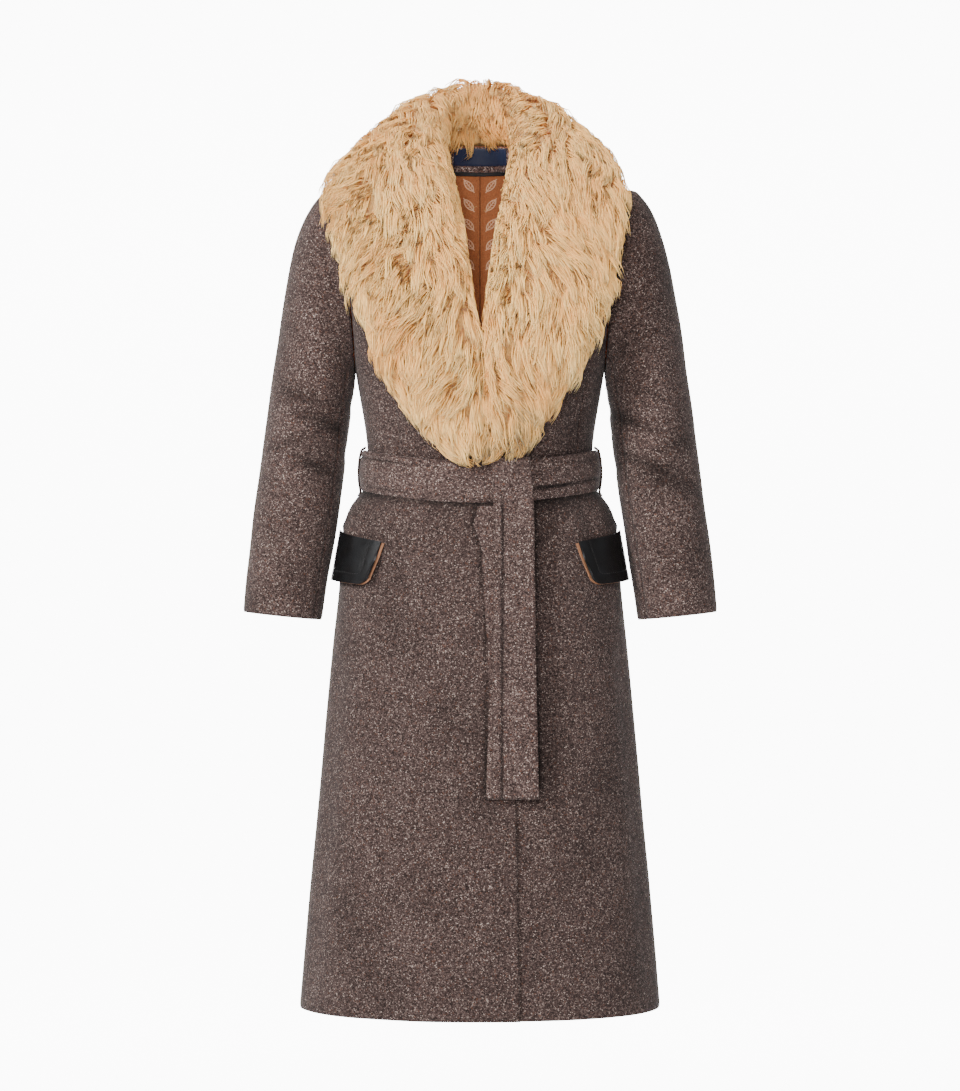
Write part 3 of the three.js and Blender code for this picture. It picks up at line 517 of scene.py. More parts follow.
def makeHide():
    # the short dense undercoat from which the long hair stands
    look = furLook
    made = Shader("furBase", Roughness=0.95, Specular_IOR_Level=0.1, Sheen_Weight=0.2, Sheen_Roughness=0.5)
    place = made.objectPlace()
    clump = made.noise(place, 130, 4.0, 0.65)
    fine = made.noise(place, 900, 3.0, 0.7)
    ground = made.blend(clump.ramp(0.35, 0.65), colour(look["hide"]), colour(look["body"]))
    made.feed(Base_Color=made.blend(fine.ramp(0.3, 0.7) * 0.35, ground, colour(look["root"])))
    made.relief(clump * 1.2 + fine, 0.9, 0.003)
    return made.material


def makeLeather(name, base, paintedSheen, rough, grain=1400):
    made = Shader(name, Specular_IOR_Level=0.32)
    place = made.objectPlace()
    pebble = made.cells(place, grain, "DISTANCE_TO_EDGE", "Distance")
    cloud = made.noise(place, 60, 3.0)
    # cloudy patches of a lighter tone, a painted sheen on the leather
    made.feed(Base_Color=made.blend(cloud.ramp(0.35, 0.7), colour(base), colour(paintedSheen)),
              Roughness=made.noise(place, 90, 3.0).ramp(0.3, 0.7, rough - 0.07, rough + 0.09))
    made.relief(pebble.ramp(0.0, 0.12) + cloud * 0.4, 0.25, 0.0003)
    return made.material


def makeSatin(name, base, shine, rough):
    made = Shader(name, Specular_IOR_Level=0.45, Sheen_Weight=0.1)
    place = made.node("ShaderNodeUVMap", dict(uv_map="cloth"))
    across, down = made.part(place, 0), made.part(place, 1)
    weft = (down * 9000).math("SINE")
    warp = (across * 7000).math("SINE")
    # the weave drawn in lines of a lighter tone, a painted shine along the threads
    made.feed(Base_Color=made.blend((weft * 0.5 + 0.5) * (warp * 0.25 + 0.75), colour(base), colour(shine)),
              Roughness=weft.ramp(-1, 1, rough - 0.05, rough + 0.08))
    made.relief(weft + warp * 0.5, 0.25, 0.0002)
    return made.material


tweed = makeTweed("tweed")
innerCloth = makeInnerCloth()
furStrands = makeFur()
furHide = makeHide()
blackLeather = makeLeather("blackLeather", (9, 8, 9), (17, 18, 20), 0.4)
tanLeather = makeLeather("tanLeather", (120, 82, 58), (150, 104, 76), 0.75, 1800)
camelEdge = makeTweed("camelEdge", 0.42)
# lighter copies of the same tweed, painted light: belt and sleeves where they catch more light, the neck
# facing against the shade inside the neck
beltTweed = makeTweed("beltTweed", paintedLight=1.32)
sleeveTweed = makeTweed("sleeveTweed", paintedLight=1.17)
facingTweed = makeTweed("facingTweed", paintedLight=2.6)
dullTweed = makeTweed("dullTweed", 0.0, 0.0)
navySatin = makeSatin("navySatin", (17, 26, 52), (33, 46, 82), 0.5)
blackBinding = makeSatin("blackBinding", (12, 12, 13), (30, 30, 32), 0.5)
darkThread = makeSatin("darkThread", (9, 9, 10), (28, 28, 30), 0.6)
print("materials made")


# Pieces of cloth

def spots(count, features=(), reach=0.01):
    # places from 0 to 1, closer together round each feature
    found = {index / count for index in range(count + 1)}
    for feature in features:
        for offset in (0, 0.25, 0.55, 1.0, 1.6, 2.4):
            found.update({clamp01(feature + offset * reach), clamp01(feature - offset * reach)})
    kept = []
    for value in sorted(found):
        if not kept or value - kept[-1] > reach * 0.12:
            kept.append(value)
    kept[-1] = 1.0
    return kept


def normalised(vectors):
    return vectors / np.maximum(np.linalg.norm(vectors, axis=-1, keepdims=True), 1e-9)


def runLength(points, axis):
    # how far each point of the grid lies from the first one of its row or column
    first = np.take(points, [0], axis=axis)
    return np.cumsum(np.linalg.norm(np.diff(points, axis=axis, prepend=first), axis=2), axis=axis)


def gridNormals(points):
    across = np.gradient(points, axis=1)
    down = np.gradient(points, axis=0)
    return normalised(np.cross(across, down))


def finished(name, made):
    mesh = bpy.data.meshes.new(name)
    made.to_mesh(mesh)
    made.free()
    mesh.polygons.foreach_set("use_smooth", [True] * len(mesh.polygons))
    return mesh


def linked(name, data):
    made = bpy.data.objects.new(name, data)
    bpy.context.scene.collection.objects.link(made)
    return made


def sheetMesh(name, points, paintedShade=None, closed=False, anchor=None):
    # points[row][column] in millimetres becomes one sheet with a flat map in metres from the anchor column
    rows, columns = points.shape[:2]
    made = bmesh.new()
    bmesh.ops.create_grid(made, x_segments=columns - 1, y_segments=rows - 1, size=0.5)
    aside = runLength(points, 1)
    aside -= aside[:, [columns // 2 if anchor is None else anchor]]
    below = runLength(points, 0)[:, columns // 2]
    flat = made.loops.layers.uv.new("cloth")
    # each point carries how much painted shade darkens its colour
    shade = made.verts.layers.float.new("paintedShade")
    where = {}
    for vert in made.verts:
        column = round((vert.co.x + 0.5) * (columns - 1))
        row = rows - 1 - round((vert.co.y + 0.5) * (rows - 1))
        where[vert] = (row, column)
        vert.co = Vector(points[row][column]) * metre
        if paintedShade is not None:
            vert[shade] = float(paintedShade[row][column])
    for face in made.faces:
        for loop in face.loops:
            row, column = where[loop.vert]
            loop[flat].uv = (aside[row, column] * metre, -below[row] * metre)
    if closed:
        bmesh.ops.remove_doubles(made, verts=made.verts, dist=1e-6)
    return finished(name, made)


def faceOutward(mesh, points, normals):
    # turns the faces if the middle one looks the wrong way
    row, column = points.shape[0] // 2, points.shape[1] // 2
    middle = Vector(points[row][column]) * metre
    nearest = min(mesh.polygons, key=lambda face: (face.center - middle).length)
    if nearest.normal.dot(Vector(normals[row][column])) < 0:
        mesh.flip_normals()


def place(name, mesh, materials, slot, nodes):
    piece = linked(name, mesh)
    for material in materials:
        mesh.materials.append(material)
    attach(piece, "root")
    if nodes:
        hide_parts(*nodes)
    return piece


def thicken(piece, thickness, inner, rim, rounded):
    wall = piece.modifiers.new("wall", "SOLIDIFY")
    wall.thickness = thickness * metre
    wall.offset = -1
    wall.use_even_offset = False
    wall.material_offset = inner
    wall.material_offset_rim = rim
    if rounded:
        edge = piece.modifiers.new("edge", "BEVEL")
        edge.width = rounded * metre
        edge.segments = 2
        edge.limit_method = "ANGLE"
        edge.angle_limit = math.radians(50)
    return piece


def clothPiece(name, points, normals, materials, slot, nodes, thickness, depth=None, inner=0, rim=0,
               rounded=0.0, shade=0.0, anchor=None, side=1):
    # depth lowers the outer face along its normals and paints shade into the hollows, shade adds
    # more painted shade to that, side -1 makes the mirror image
    points, normals = points * np.array([side, 1, 1]), normals * np.array([side, 1, 1])
    paintedShade = None
    if depth is not None:
        points = points + normals * depth[..., None]
        # painted shade: darker where the cloth dips, plus the painted shade given
        paintedShade = np.clip(-depth * 0.36 + shade, 0, 1)
    mesh = sheetMesh(name, points, paintedShade, anchor=anchor)
    faceOutward(mesh, points, normals)
    piece = place(name, mesh, materials, slot, nodes)
    return thicken(piece, thickness, inner, rim, rounded)


def outwardNormals(points, away):
    normals = gridNormals(points)
    return normals * np.where((normals * away).sum(axis=2, keepdims=True) < 0, -1.0, 1.0)


def unevenness(points, size, seed):
    # slow waves in the cloth, about 1 high, the detail's share of waves sets their depth
    shift = seed * 1.7
    x, y, z = points[..., 0] / size, points[..., 1] / size, points[..., 2] / size
    return (np.sin(x * 2.1 + shift) * np.sin(z * 1.3 + 2 * shift)
            + 0.6 * np.sin(x * 3.7 - z * 2.3 + y * 2.9 + shift) + 0.4 * np.sin(z * 4.9 + y * 3.1 - shift))


bodyDetail = dict(
    columns=46, moreColumns=22, upperRows=40, lowerRows=92,
    seamDip=1.3, seamWidth=2.2, hemDip=0.8, hemWidth=2.5,
    dart={1: 0.372, -1: 0.507}, dartTop={1: -300, -1: -330}, dartBottom=-408, dartDip=0.9, dartWidth=1.8,
    lip=2.2, lipWidth=4.2, lipEnd=66, waves=0.45, waveLength=90, calm=30,
    # painted shadow lines under and over the belt: height, strength, width
    beltShadows=[(-439, 1.0, 5.0), (-381.5, 0.5, 3)],
    # edges of the belt's two hanging ends by drop, where painted shadow darkens the cloth beside them
    frontEndEdge=([440, 540, 820], [64, 65, 70]),
    backEndEdge=([457, 480, 506, 540, 610, 680, 750, 820], [-4.5, -10, -0.5, 1.9, 6.1, 9.5, 8, 5.7]),
)
flapTop, flapBottom, flapSlant, flapSlope, flapStart, flapCorner = -486, -549, 7.5, 12.5, 3, 14
# How far the lining hangs lower than the leather at its lower edge, and lies below it at the upper one
flapLeather = dict(endX=120, offset=2.6, thickness=2.4, lower=0, below=0, grooves=1)
flapLining = dict(endX=117.6, offset=1, thickness=1.2, lower=0.8, below=2.4, grooves=0)


def bodyPanel(side, front):
    detail = bodyDetail
    dart = detail["dart"][side]
    flapEnd = (0.72,) if side > 0 else ()
    marks = (0, 1, dart, *flapEnd) if front else (0, 1)
    across = spots(detail["columns"] + (detail["moreColumns"] if front and side < 0 else 0), marks, 0.006)
    lowest = 1 + (coat["armpitHeight"] - coat["hemHeight"]) / coat["lapBelow"]
    lower = [1 + (lowest - 1) * share for share in spots(detail["lowerRows"], (1,), 0.0022) if share > 0]
    ways = spots(detail["upperRows"], (0,), 0.008) + lower
    points = np.array([[panelPoint(front, side, s, way) for s in across] for way in ways])
    if not front:
        points[:, -1, 0] = 0
    normals = outwardNormals(points, np.apply_along_axis(outward, 2, points))
    if not front:
        normals[:, -1, 0] = 0
    fromSide = runLength(points, 1)
    fromMiddle = fromSide[:, -1:] - fromSide
    wayGrid = np.array(ways)[:, None]
    heights = points[..., 2]
    width = detail["seamWidth"]
    depth = -detail["seamDip"] * (bump(fromSide, width) + 0.9 * bump(fromMiddle, width)
                                  + bump(runLength(points, 0), width))
    depth -= detail["hemDip"] * bump((lowest - wayGrid) * coat["lapBelow"], detail["hemWidth"])
    wavy = unevenness(points, detail["waveLength"], side + (2 if front else 5)) * detail["waves"]
    depth += wavy * np.clip(fromSide / detail["calm"], 0, 1) * np.clip(fromMiddle / detail["calm"], 0, 1)
    level = coat["armpitHeight"] - (wayGrid - 1) * coat["lapBelow"]
    # painted shadow on the cloth under and over the belt
    shade = sum(dark * bump(level - at, reach) for at, dark, reach in detail["beltShadows"])
    shade = shade * np.ones_like(fromSide)
    if front:
        dartAt = fromSide[:, [across.index(min(across, key=lambda s: abs(s - dart)))]]
        window = gate(detail["dartTop"][side] - heights, 6) * gate(heights - detail["dartBottom"], 6)
        depth -= detail["dartDip"] * bump(fromSide - dartAt, detail["dartWidth"]) * window
        # the pocket's lip stands over the flap's upper edge
        flapLine = flapTop - flapSlant * np.clip((fromSide - 8) / 62, 0, 1)
        flapLine = flapLine - 12 * np.clip(fromSide / 90, 0, 1)
        lip = bump(heights - flapLine - 4.5, detail["lipWidth"]) * gate(detail["lipEnd"] - fromSide, 3.5)
        depth += detail["lip"] * lip
        # painted shadow beside the belt's hanging ends
        edge = detail["frontEndEdge" if side > 0 else "backEndEdge"]
        past = points[..., 0] * side - np.interp(-heights, *edge)
        if side > 0:
            beside = 0.8 * bump(past, 6) + 0.4 * np.exp(-np.abs(past) / 16) * (past > 0)
            shade += beside * gate(heights + 815, 4) * gate(-452 - heights, 4)
        else:
            shade += 0.75 * bump(past, 3.4) * (heights < -452) * (heights > -822)
    name = f"{'front' if front else 'back'}_{sideName(side)}"
    return clothPiece(name + "_cloth", points, normals, [tweed, innerCloth], "tweed", [name], coat["cloth"],
                      depth, inner=1, shade=shade, anchor=None if front else -1, side=side)


pieces = {}
for side in (1, -1):
    name = sideName(side)
    pieces["back_" + name] = bodyPanel(side, False)
    pieces["front_" + name] = bodyPanel(side, True)
print("body panels made")

# The seams' places, in twentieths of a turn from the sleeve's outer side
sleeveSteps, frontSeam, backSeam = 20, 8, 13
sleeveDetail = dict(
    rows=96, upperColumns=44, underColumns=18, seamDip=1.2, seamWidth=2.2, cuffDip=0.8, cuffWidth=2.5,
    waves=0.5, waveLength=70, calm=25, head=1.4, headAt=11, headWidth=7,
    # across the front of the sleeve: height, slant, half height, depth, turn in degrees and its spread
    creases=[(-352, 14, 9, -2.2, 120, 46), (-378, -10, 7, -1.6, 60, 40), (-404, 16, 9, -2.0, 105, 44),
             (-330, 10, 8, -1.8, 200, 50), (-372, -12, 9, -2.2, 235, 46), (-430, 10, 8, -1.2, 70, 44),
             (-318, 12, 8, -1.6, 80, 36), (-398, 12, 8, -1.8, 215, 50)],
)


def sleeveRing(place):
    # a ring between two of the table's, along smooth curves
    at = min(len(sleeveRings) - 2, int(place))
    share = place - at
    before = sleeveRings[max(0, at - 1)]
    after = sleeveRings[min(len(sleeveRings) - 1, at + 2)]
    first, second = sleeveRings[at], sleeveRings[at + 1]
    bend = share * share * (3 - 2 * share)
    made = []
    for column in range(8):
        startSlope = (second[column] - before[column]) / (2 if at > 0 else 1)
        endSlope = (after[column] - first[column]) / (2 if at + 2 < len(sleeveRings) else 1)
        made.append(mix(first[column], second[column], bend)
                    + share * (1 - share) * ((1 - share) * startSlope - share * endSlope))
    return made


def sleevePiece(side, upper):
    detail = sleeveDetail
    firstStep, lastStep = (backSeam - sleeveSteps, frontSeam) if upper else (frontSeam, backSeam)
    count, reach = (detail["upperColumns"], 0.006) if upper else (detail["underColumns"], 0.02)
    columns = spots(count, (0, 1), reach)
    rows = spots(detail["rows"], (0, 1), 0.004)
    turns = [math.radians(360) * mix(firstStep, lastStep, share) / sleeveSteps for share in columns]
    rings = [sleeveRing(share * (len(sleeveRings) - 1)) for share in rows]
    points = np.array([[sleevePoint(ring, turn) for turn in turns] for ring in rings])
    middles = np.array([[(ring[0] + ring[2]) / 2, ring[6], (ring[1] + ring[3]) / 2] for ring in rings])
    normals = outwardNormals(points, points - middles[:, None, :])
    fromFirst, fromTop = runLength(points, 1), runLength(points, 0)
    fromLast, fromCuff = fromFirst[:, -1:] - fromFirst, fromTop[-1:] - fromTop
    width = detail["seamWidth"]
    depth = -detail["seamDip"] * (bump(fromFirst, width) + bump(fromLast, width) + bump(fromTop, width))
    depth -= detail["cuffDip"] * bump(fromCuff, detail["cuffWidth"])
    calm = np.clip(fromFirst / detail["calm"], 0, 1) * np.clip(fromLast / detail["calm"], 0, 1)
    depth += unevenness(points, detail["waveLength"], side * 3 + upper) * detail["waves"] * calm
    angles = np.degrees(np.array(turns))[None, :] % 360
    for height, slant, half, deep, turn, spread in detail["creases"]:
        off = (angles - turn + 180) % 360 - 180
        line = height + side * slant * off / spread
        depth += deep * bump(off, spread) * bump(points[..., 2] - line, half)
    # the cloth swells a little over the seam at the sleeve head
    swell = detail["head"] * bump(fromTop - detail["headAt"], detail["headWidth"])
    depth += swell * np.clip(np.cos(np.array(turns))[None, :], 0, 1)
    label = f"sleeve_{'upper' if upper else 'under'}_{sideName(side)}"
    return clothPiece(label + "_cloth", points, normals, [sleeveTweed, innerCloth], "tweed", [label],
                      coat["cloth"], depth, inner=1, side=side)


for side in (1, -1):
    upperPiece, underPiece = sleevePiece(side, True), sleevePiece(side, False)
    body = pieces["front_" + sideName(side)].name
print("sleeves made")

# Collar

# Across and fall, or reach, say how far the collar lies over the panel. Roll is the height of its fold over
# the neck seam, lean how far the fold leans out, inward how far it bulges into the neck. Thick and edge are
# the fur's depth, over is how far the edge stands out, raise how far it lifts off, seat the gap beneath.
# Sections behind: step, across, fall, roll, lean, inward, thick, edge, over, raise, seat
collarBack = [
    (0, 1, 0.3, 88, 0, 26, 36, 30, 8, 0, 0.9), (1, 0.86, 0.3, 87, 0, 26, 37, 30, 8, 0, 0.9),
    (2, 0.7, 0.29, 84, 1, 27, 38, 31, 8, 0, 0.9), (3, 0.53, 0.27, 79, 3, 28, 40, 32, 8, 1, 1.5),
    (4, 0.35, 0.22, 73, 5, 30, 43, 33, 8, 2, 1.9), (5, 0.16, 0.13, 67, 7, 32, 46, 35, 9, 3, 1.9),
]
# Sections in front: way, reach, roll, lean, inward, thick, edge, over, raise
collarFront = [
    (0, 0.02, 62, 8, 34, 47, 36, 2, 4), (0.1, 0.03, 56, 8, 33, 46, 36, 2, 6),
    (0.2, 0.06, 50, 6, 32, 44, 35, 3, 8), (0.3, 0.1, 45, 4, 30, 42, 34, 3, 9),
    (0.4, 0.17, 40, 2, 26, 40, 33, 4, 9), (0.5, 0.25, 36, 0, 22, 38, 31, 4, 8),
    (0.6, 0.32, 34, 0, 19, 37, 30, 4, 6), (0.7, 0.38, 33, 0, 15, 36, 29, 4, 3),
    (0.8, 0.43, 32, 0, 11, 35, 28, 5, 0), (0.9, 0.47, 31, 0, 8, 34, 27, 5, 0),
    (1, 0.5, 30, 0, 6, 33, 26, 5, 0), (1.18, 0.57, 29, 0, 6, 31, 24, 5, 0),
    (1.38, 0.63, 27, 0, 6, 29, 22, 6, 0), (1.58, 0.69, 25, 0, 6, 26, 19, 6, 0),
    (1.76, 0.75, 22, 0, 6, 22, 15, 6, 0), (1.88, 0.81, 17, 0, 6, 16, 10, 6, 0),
]
underSteps, backSteps = 7, 6
collarSeat = dict(gap=0.9, underlay=4)
shoulderRun = minus(coat["sideNeck"], coat["shoulderTip"])
shoulderNormal = unit((shoulderRun[2], 0, -shoulderRun[0]))


def fallNormal(share):
    turn = math.radians(90) * share
    tilt = math.radians(mix(20, 64, share ** 1.3))
    return (math.sin(turn) * math.cos(tilt), math.cos(turn) * math.cos(tilt), math.sin(tilt))


def meetingX(z):
    top, end = coat["meetTop"], coat["meetEnd"]
    return mix(top[0], end[0], clamp01((top[1] - z) / (top[1] - end[1])))


def collarLoop(side, row, behind):
    # one section of the collar, from the panel's points beneath it
    if behind:
        step, across, fall, roll, lean, inward, thick, edge, over, lifted, seat = row
        share, way = step / backSteps, 0
    else:
        way, reach, roll, lean, inward, thick, edge, over, lifted = row
        share, seat = 0, collarSeat["gap"]
    under = []
    for index in range(underSteps + 1):
        r = index / underSteps
        s, down = (mix(mix(1, neckShare, share), across, r), fall * r) if behind else (mix(1, reach, r), way)
        atShoulder = not behind and way == 0
        normal = shoulderNormal if atShoulder else panelNormal(not behind, side, s, down)
        off = seat + collarSeat["underlay"] * min(1, r * 3) + lifted * smooth(0.55, 1, r)
        under.append((add(panelPoint(not behind, side, s, down), normal, off),
                      fallNormal(share) if behind else normal))

    def at(r):
        spot = r * underSteps
        low = min(underSteps - 1, int(spot))
        return (mixPoint(under[low][0], under[low + 1][0], spot - low),
                unit(mixPoint(under[low][1], under[low + 1][1], spot - low)))
    start, end = under[0], under[-1]
    outwards = unit(minus(end[0], under[-2][0]))
    inwards = unit(minus(start[0], under[1][0]))
    lower = smooth(0, 0.45, way)
    rollUp = (0, 0, 1) if behind else unit(mixPoint((0, 0, 1), start[1], lower))
    toNeck = unit((-start[0][0], coat["sideNeck"][1] - start[0][1], 0))
    flat = toNeck if behind else unit(mixPoint(toNeck, inwards, lower))

    def raised(r, height):
        point, normal = at(r)
        return add(point, normal, height)

    def rolled(inside, up):
        return add(add(start[0], flat, inside), rollUp, up)
    loop = [point for point, normal in under] + [
        add(add(end[0], end[1], edge * 0.3), outwards, over),
        add(add(end[0], end[1], edge * 0.78), outwards, over * 0.8),
        raised(0.86, edge + (thick - edge) * 0.6),
        raised(0.62, thick),
        mixPoint(raised(0.34, thick * 1.06), rolled(-lean - 22, roll * 0.92), 0.45),
        rolled(-lean - 6, roll),
        rolled(inward * 0.55, roll * 0.9),
        rolled(inward, roll * 0.58),
        rolled(inward * 0.96, roll * 0.24),
        rolled(inward * 0.6, 0.6),
    ]
    made = []
    for x, y, z in loop:
        if behind and row[0] == 0:
            x = coat["seamGap"] / 2
        else:
            low = z < coat["meetTop"][1] + 60 and not behind
            x = max(meetingX(z) * side + 0.5 if low else coat["seamGap"] / 2, x)
        made.append((x * side, y, z))
    return made


def denser(points, places, closed):
    # smooth curves along the first axis, read at the places given in steps of it
    count = len(points)
    made = []
    for spot in places:
        at = int(spot) if closed else min(count - 2, int(spot))
        t = spot - at

        def pick(index):
            return points[index % count] if closed else points[min(count - 1, max(0, index))]
        a, b, c, d = pick(at - 1), pick(at), pick(at + 1), pick(at + 2)
        made.append(0.5 * (2 * b + (c - a) * t + (2 * a - 5 * b + 4 * c - d) * t ** 2
                           + (3 * b - a - 3 * c + d) * t ** 3))
    return np.array(made)


furDetail = dict(
    rows=84, around=72, lay=12.0, layShare=0.34,
    locks=1180, strands=12, scatter=7.6, radii=(0.6, 0.63, 0.57, 0.42, 0.0), pieces=3,
    longest=56, shortest=36, inner=0.45, seed=41,
    # places round a section where fur grows: first and last of the hide's, first and last of the hair's
    furred=(6.6, 17.6), haired=(7.9, 17.2), crest=13.0,
    # share of the full length by section, from the middle of the back to the tip in front
    lengths=([0, 5, 8, 16, 21], [0.78, 0.86, 1.0, 1.05, 0.95]),
    # the neck opening's half width by drop, and how far the right half may cross the middle below it
    neck=([60, 100, 200, 240], [26, 20.5, 7.5, 1]), join=([234, 400], [1, 8]), joinDrop=240, tipHeight=-396,
    # grey spots: x, z, width, height
    smokeSide=(46, -352, 26, 36), smokeTip=(4, -376, 18, 20),
)
# How far the hair reaches from the middle: height, right side, left side
furReach = [
    (114, 6, 6), (104, 28, 28), (86, 66, 66), (60, 108, 108), (34, 140, 138), (4, 166, 162), (-20, 184, 178),
    (-60, 198, 188), (-112, 190, 185), (-173, 171, 174), (-235, 149, 152), (-273, 137, 139), (-311, 119, 116),
    (-348, 89, 90), (-386, 56, 60), (-400, 34, 46), (-420, 20, 30),
]


def pressed(side, ownX, heights, extra, give):
    # what lies past the collar's outline is pushed back to it
    places, right, left = np.array(furReach).T
    reach = np.interp(-heights, -places, left if side > 0 else right)
    over = np.maximum(0, ownX - reach - extra)
    return ownX - over + give * (1 - np.exp(-over / 12))


def collarSkin(side):
    # the short undercoat, lower than the hair's own surface by the depth of the fur
    detail = furDetail
    loops = np.array([collarLoop(side, row, True) for row in collarBack]
                     + [collarLoop(side, row, False) for row in collarFront])
    thick = [row[6] for row in collarBack] + [row[5] for row in collarFront]
    count, around = loops.shape[:2]
    rowPlaces = np.linspace(0, count - 1, detail["rows"])
    dense = denser(loops, rowPlaces, False)
    turned = denser(np.swapaxes(dense, 0, 1), np.linspace(0, around, detail["around"], endpoint=False), True)
    outer = np.swapaxes(turned, 0, 1)
    for turn in range(4):
        outer[1:-1] = (outer[:-2] + 2 * outer[1:-1] + outer[2:]) / 4
    outer[..., 0] = pressed(side, outer[..., 0] * side, outer[..., 2], -7, 2) * side
    closed = np.concatenate([outer, outer[:, :1]], axis=1)
    wrapped = np.concatenate([outer[:, -1:], outer, outer[:, :2]], axis=1)
    normals = gridNormals(wrapped)[:, 1:-1]
    middles = outer.mean(axis=1, keepdims=True)
    if ((closed - middles) * normals).sum() < 0:
        normals = -normals
    for turn in range(3):
        normals[1:-1] = (normals[:-2] + 2 * normals[1:-1] + normals[2:]) / 4
    normals = normalised(normals)
    spot = np.linspace(0, around, detail["around"] + 1)
    first, last = detail["furred"]
    furred = np.clip((spot - first) / 1.2, 0, 1) * np.clip((last - spot) / 1.2, 0, 1)
    depth = np.minimum(detail["lay"], detail["layShare"] * np.interp(rowPlaces, range(count), thick))
    hide = closed - normals * (depth[:, None] * furred[None, :])[..., None]
    return closed, hide, normals, depth, rowPlaces, spot


def closeMesh(mesh):
    # welds, closes what is open and makes the faces agree, which turns collar_hide_left's inward
    made = bmesh.new()
    made.from_mesh(mesh)
    bmesh.ops.remove_doubles(made, verts=made.verts, dist=1e-6)
    bmesh.ops.holes_fill(made, edges=[edge for edge in made.edges if edge.is_boundary])
    bmesh.ops.triangulate(made, faces=[face for face in made.faces if len(face.verts) > 4])
    bmesh.ops.recalc_face_normals(made, faces=made.faces)
    for face in made.faces:
        face.smooth = True
    made.to_mesh(mesh)
    made.free()


def strandMesh(name, paths, radii, attributes):
    # three-sided hairs: paths[strand][ring], each closed at its root and drawn to a point
    strands, rings = paths.shape[:2]
    along = normalised(np.gradient(paths, axis=1))
    side = normalised(np.cross(along, np.array([0.31, 0.52, 0.79])))
    other = np.cross(along, side)
    corners = []
    for turn in np.radians([0, 120, 240]):
        reach = side[:, :-1] * math.cos(turn) + other[:, :-1] * math.sin(turn)
        corners.append(paths[:, :-1] + reach * np.array(radii)[None, :-1, None])
    ringPoints = np.stack(corners, axis=2).reshape(strands, (rings - 1) * 3, 3)
    points = np.concatenate([ringPoints, paths[:, -1:]], axis=1)
    perStrand = points.shape[1]
    faces = [(0, 2, 1)]
    for ring in range(rings - 2):
        for corner in range(3):
            a, b = ring * 3 + corner, ring * 3 + (corner + 1) % 3
            faces += [(a, b, b + 3), (a, b + 3, a + 3)]
    last = (rings - 2) * 3
    faces += [(last + corner, last + (corner + 1) % 3, perStrand - 1) for corner in range(3)]
    pattern = np.array(faces)
    allFaces = (pattern[None] + (np.arange(strands) * perStrand)[:, None, None]).reshape(-1, 3)
    mesh = bpy.data.meshes.new(name)
    mesh.vertices.add(strands * perStrand)
    mesh.vertices.foreach_set("co", (points.reshape(-1) * metre).astype(np.float32))
    mesh.loops.add(allFaces.size)
    mesh.loops.foreach_set("vertex_index", allFaces.reshape(-1).astype(np.int32))
    mesh.polygons.add(len(allFaces))
    mesh.polygons.foreach_set("loop_start", (np.arange(len(allFaces)) * 3).astype(np.int32))
    mesh.polygons.foreach_set("use_smooth", np.ones(len(allFaces), dtype=bool))
    share = np.concatenate([np.repeat(np.linspace(0, 1, rings)[:-1], 3), [1.0]])
    values = dict(along=np.tile(share, strands))
    for key, perHair in attributes.items():
        values[key] = np.repeat(perHair, perStrand)
    for key, value in values.items():
        mesh.attributes.new(key, "FLOAT", "POINT").data.foreach_set("value", value.astype(np.float32))
    mesh.update(calc_edges=True)
    mesh.validate()
    return mesh


def readGrid(grid, row, column):
    # bilinear, row and column in steps
    r = np.clip(row, 0, grid.shape[0] - 1.001)
    c = np.clip(column, 0, grid.shape[1] - 1.001)
    r0, c0 = r.astype(int), c.astype(int)
    fr, fc = (r - r0)[:, None], (c - c0)[:, None]
    return ((1 - fr) * (1 - fc) * grid[r0, c0] + (1 - fr) * fc * grid[r0, c0 + 1]
            + fr * (1 - fc) * grid[r0 + 1, c0] + fr * fc * grid[r0 + 1, c0 + 1])


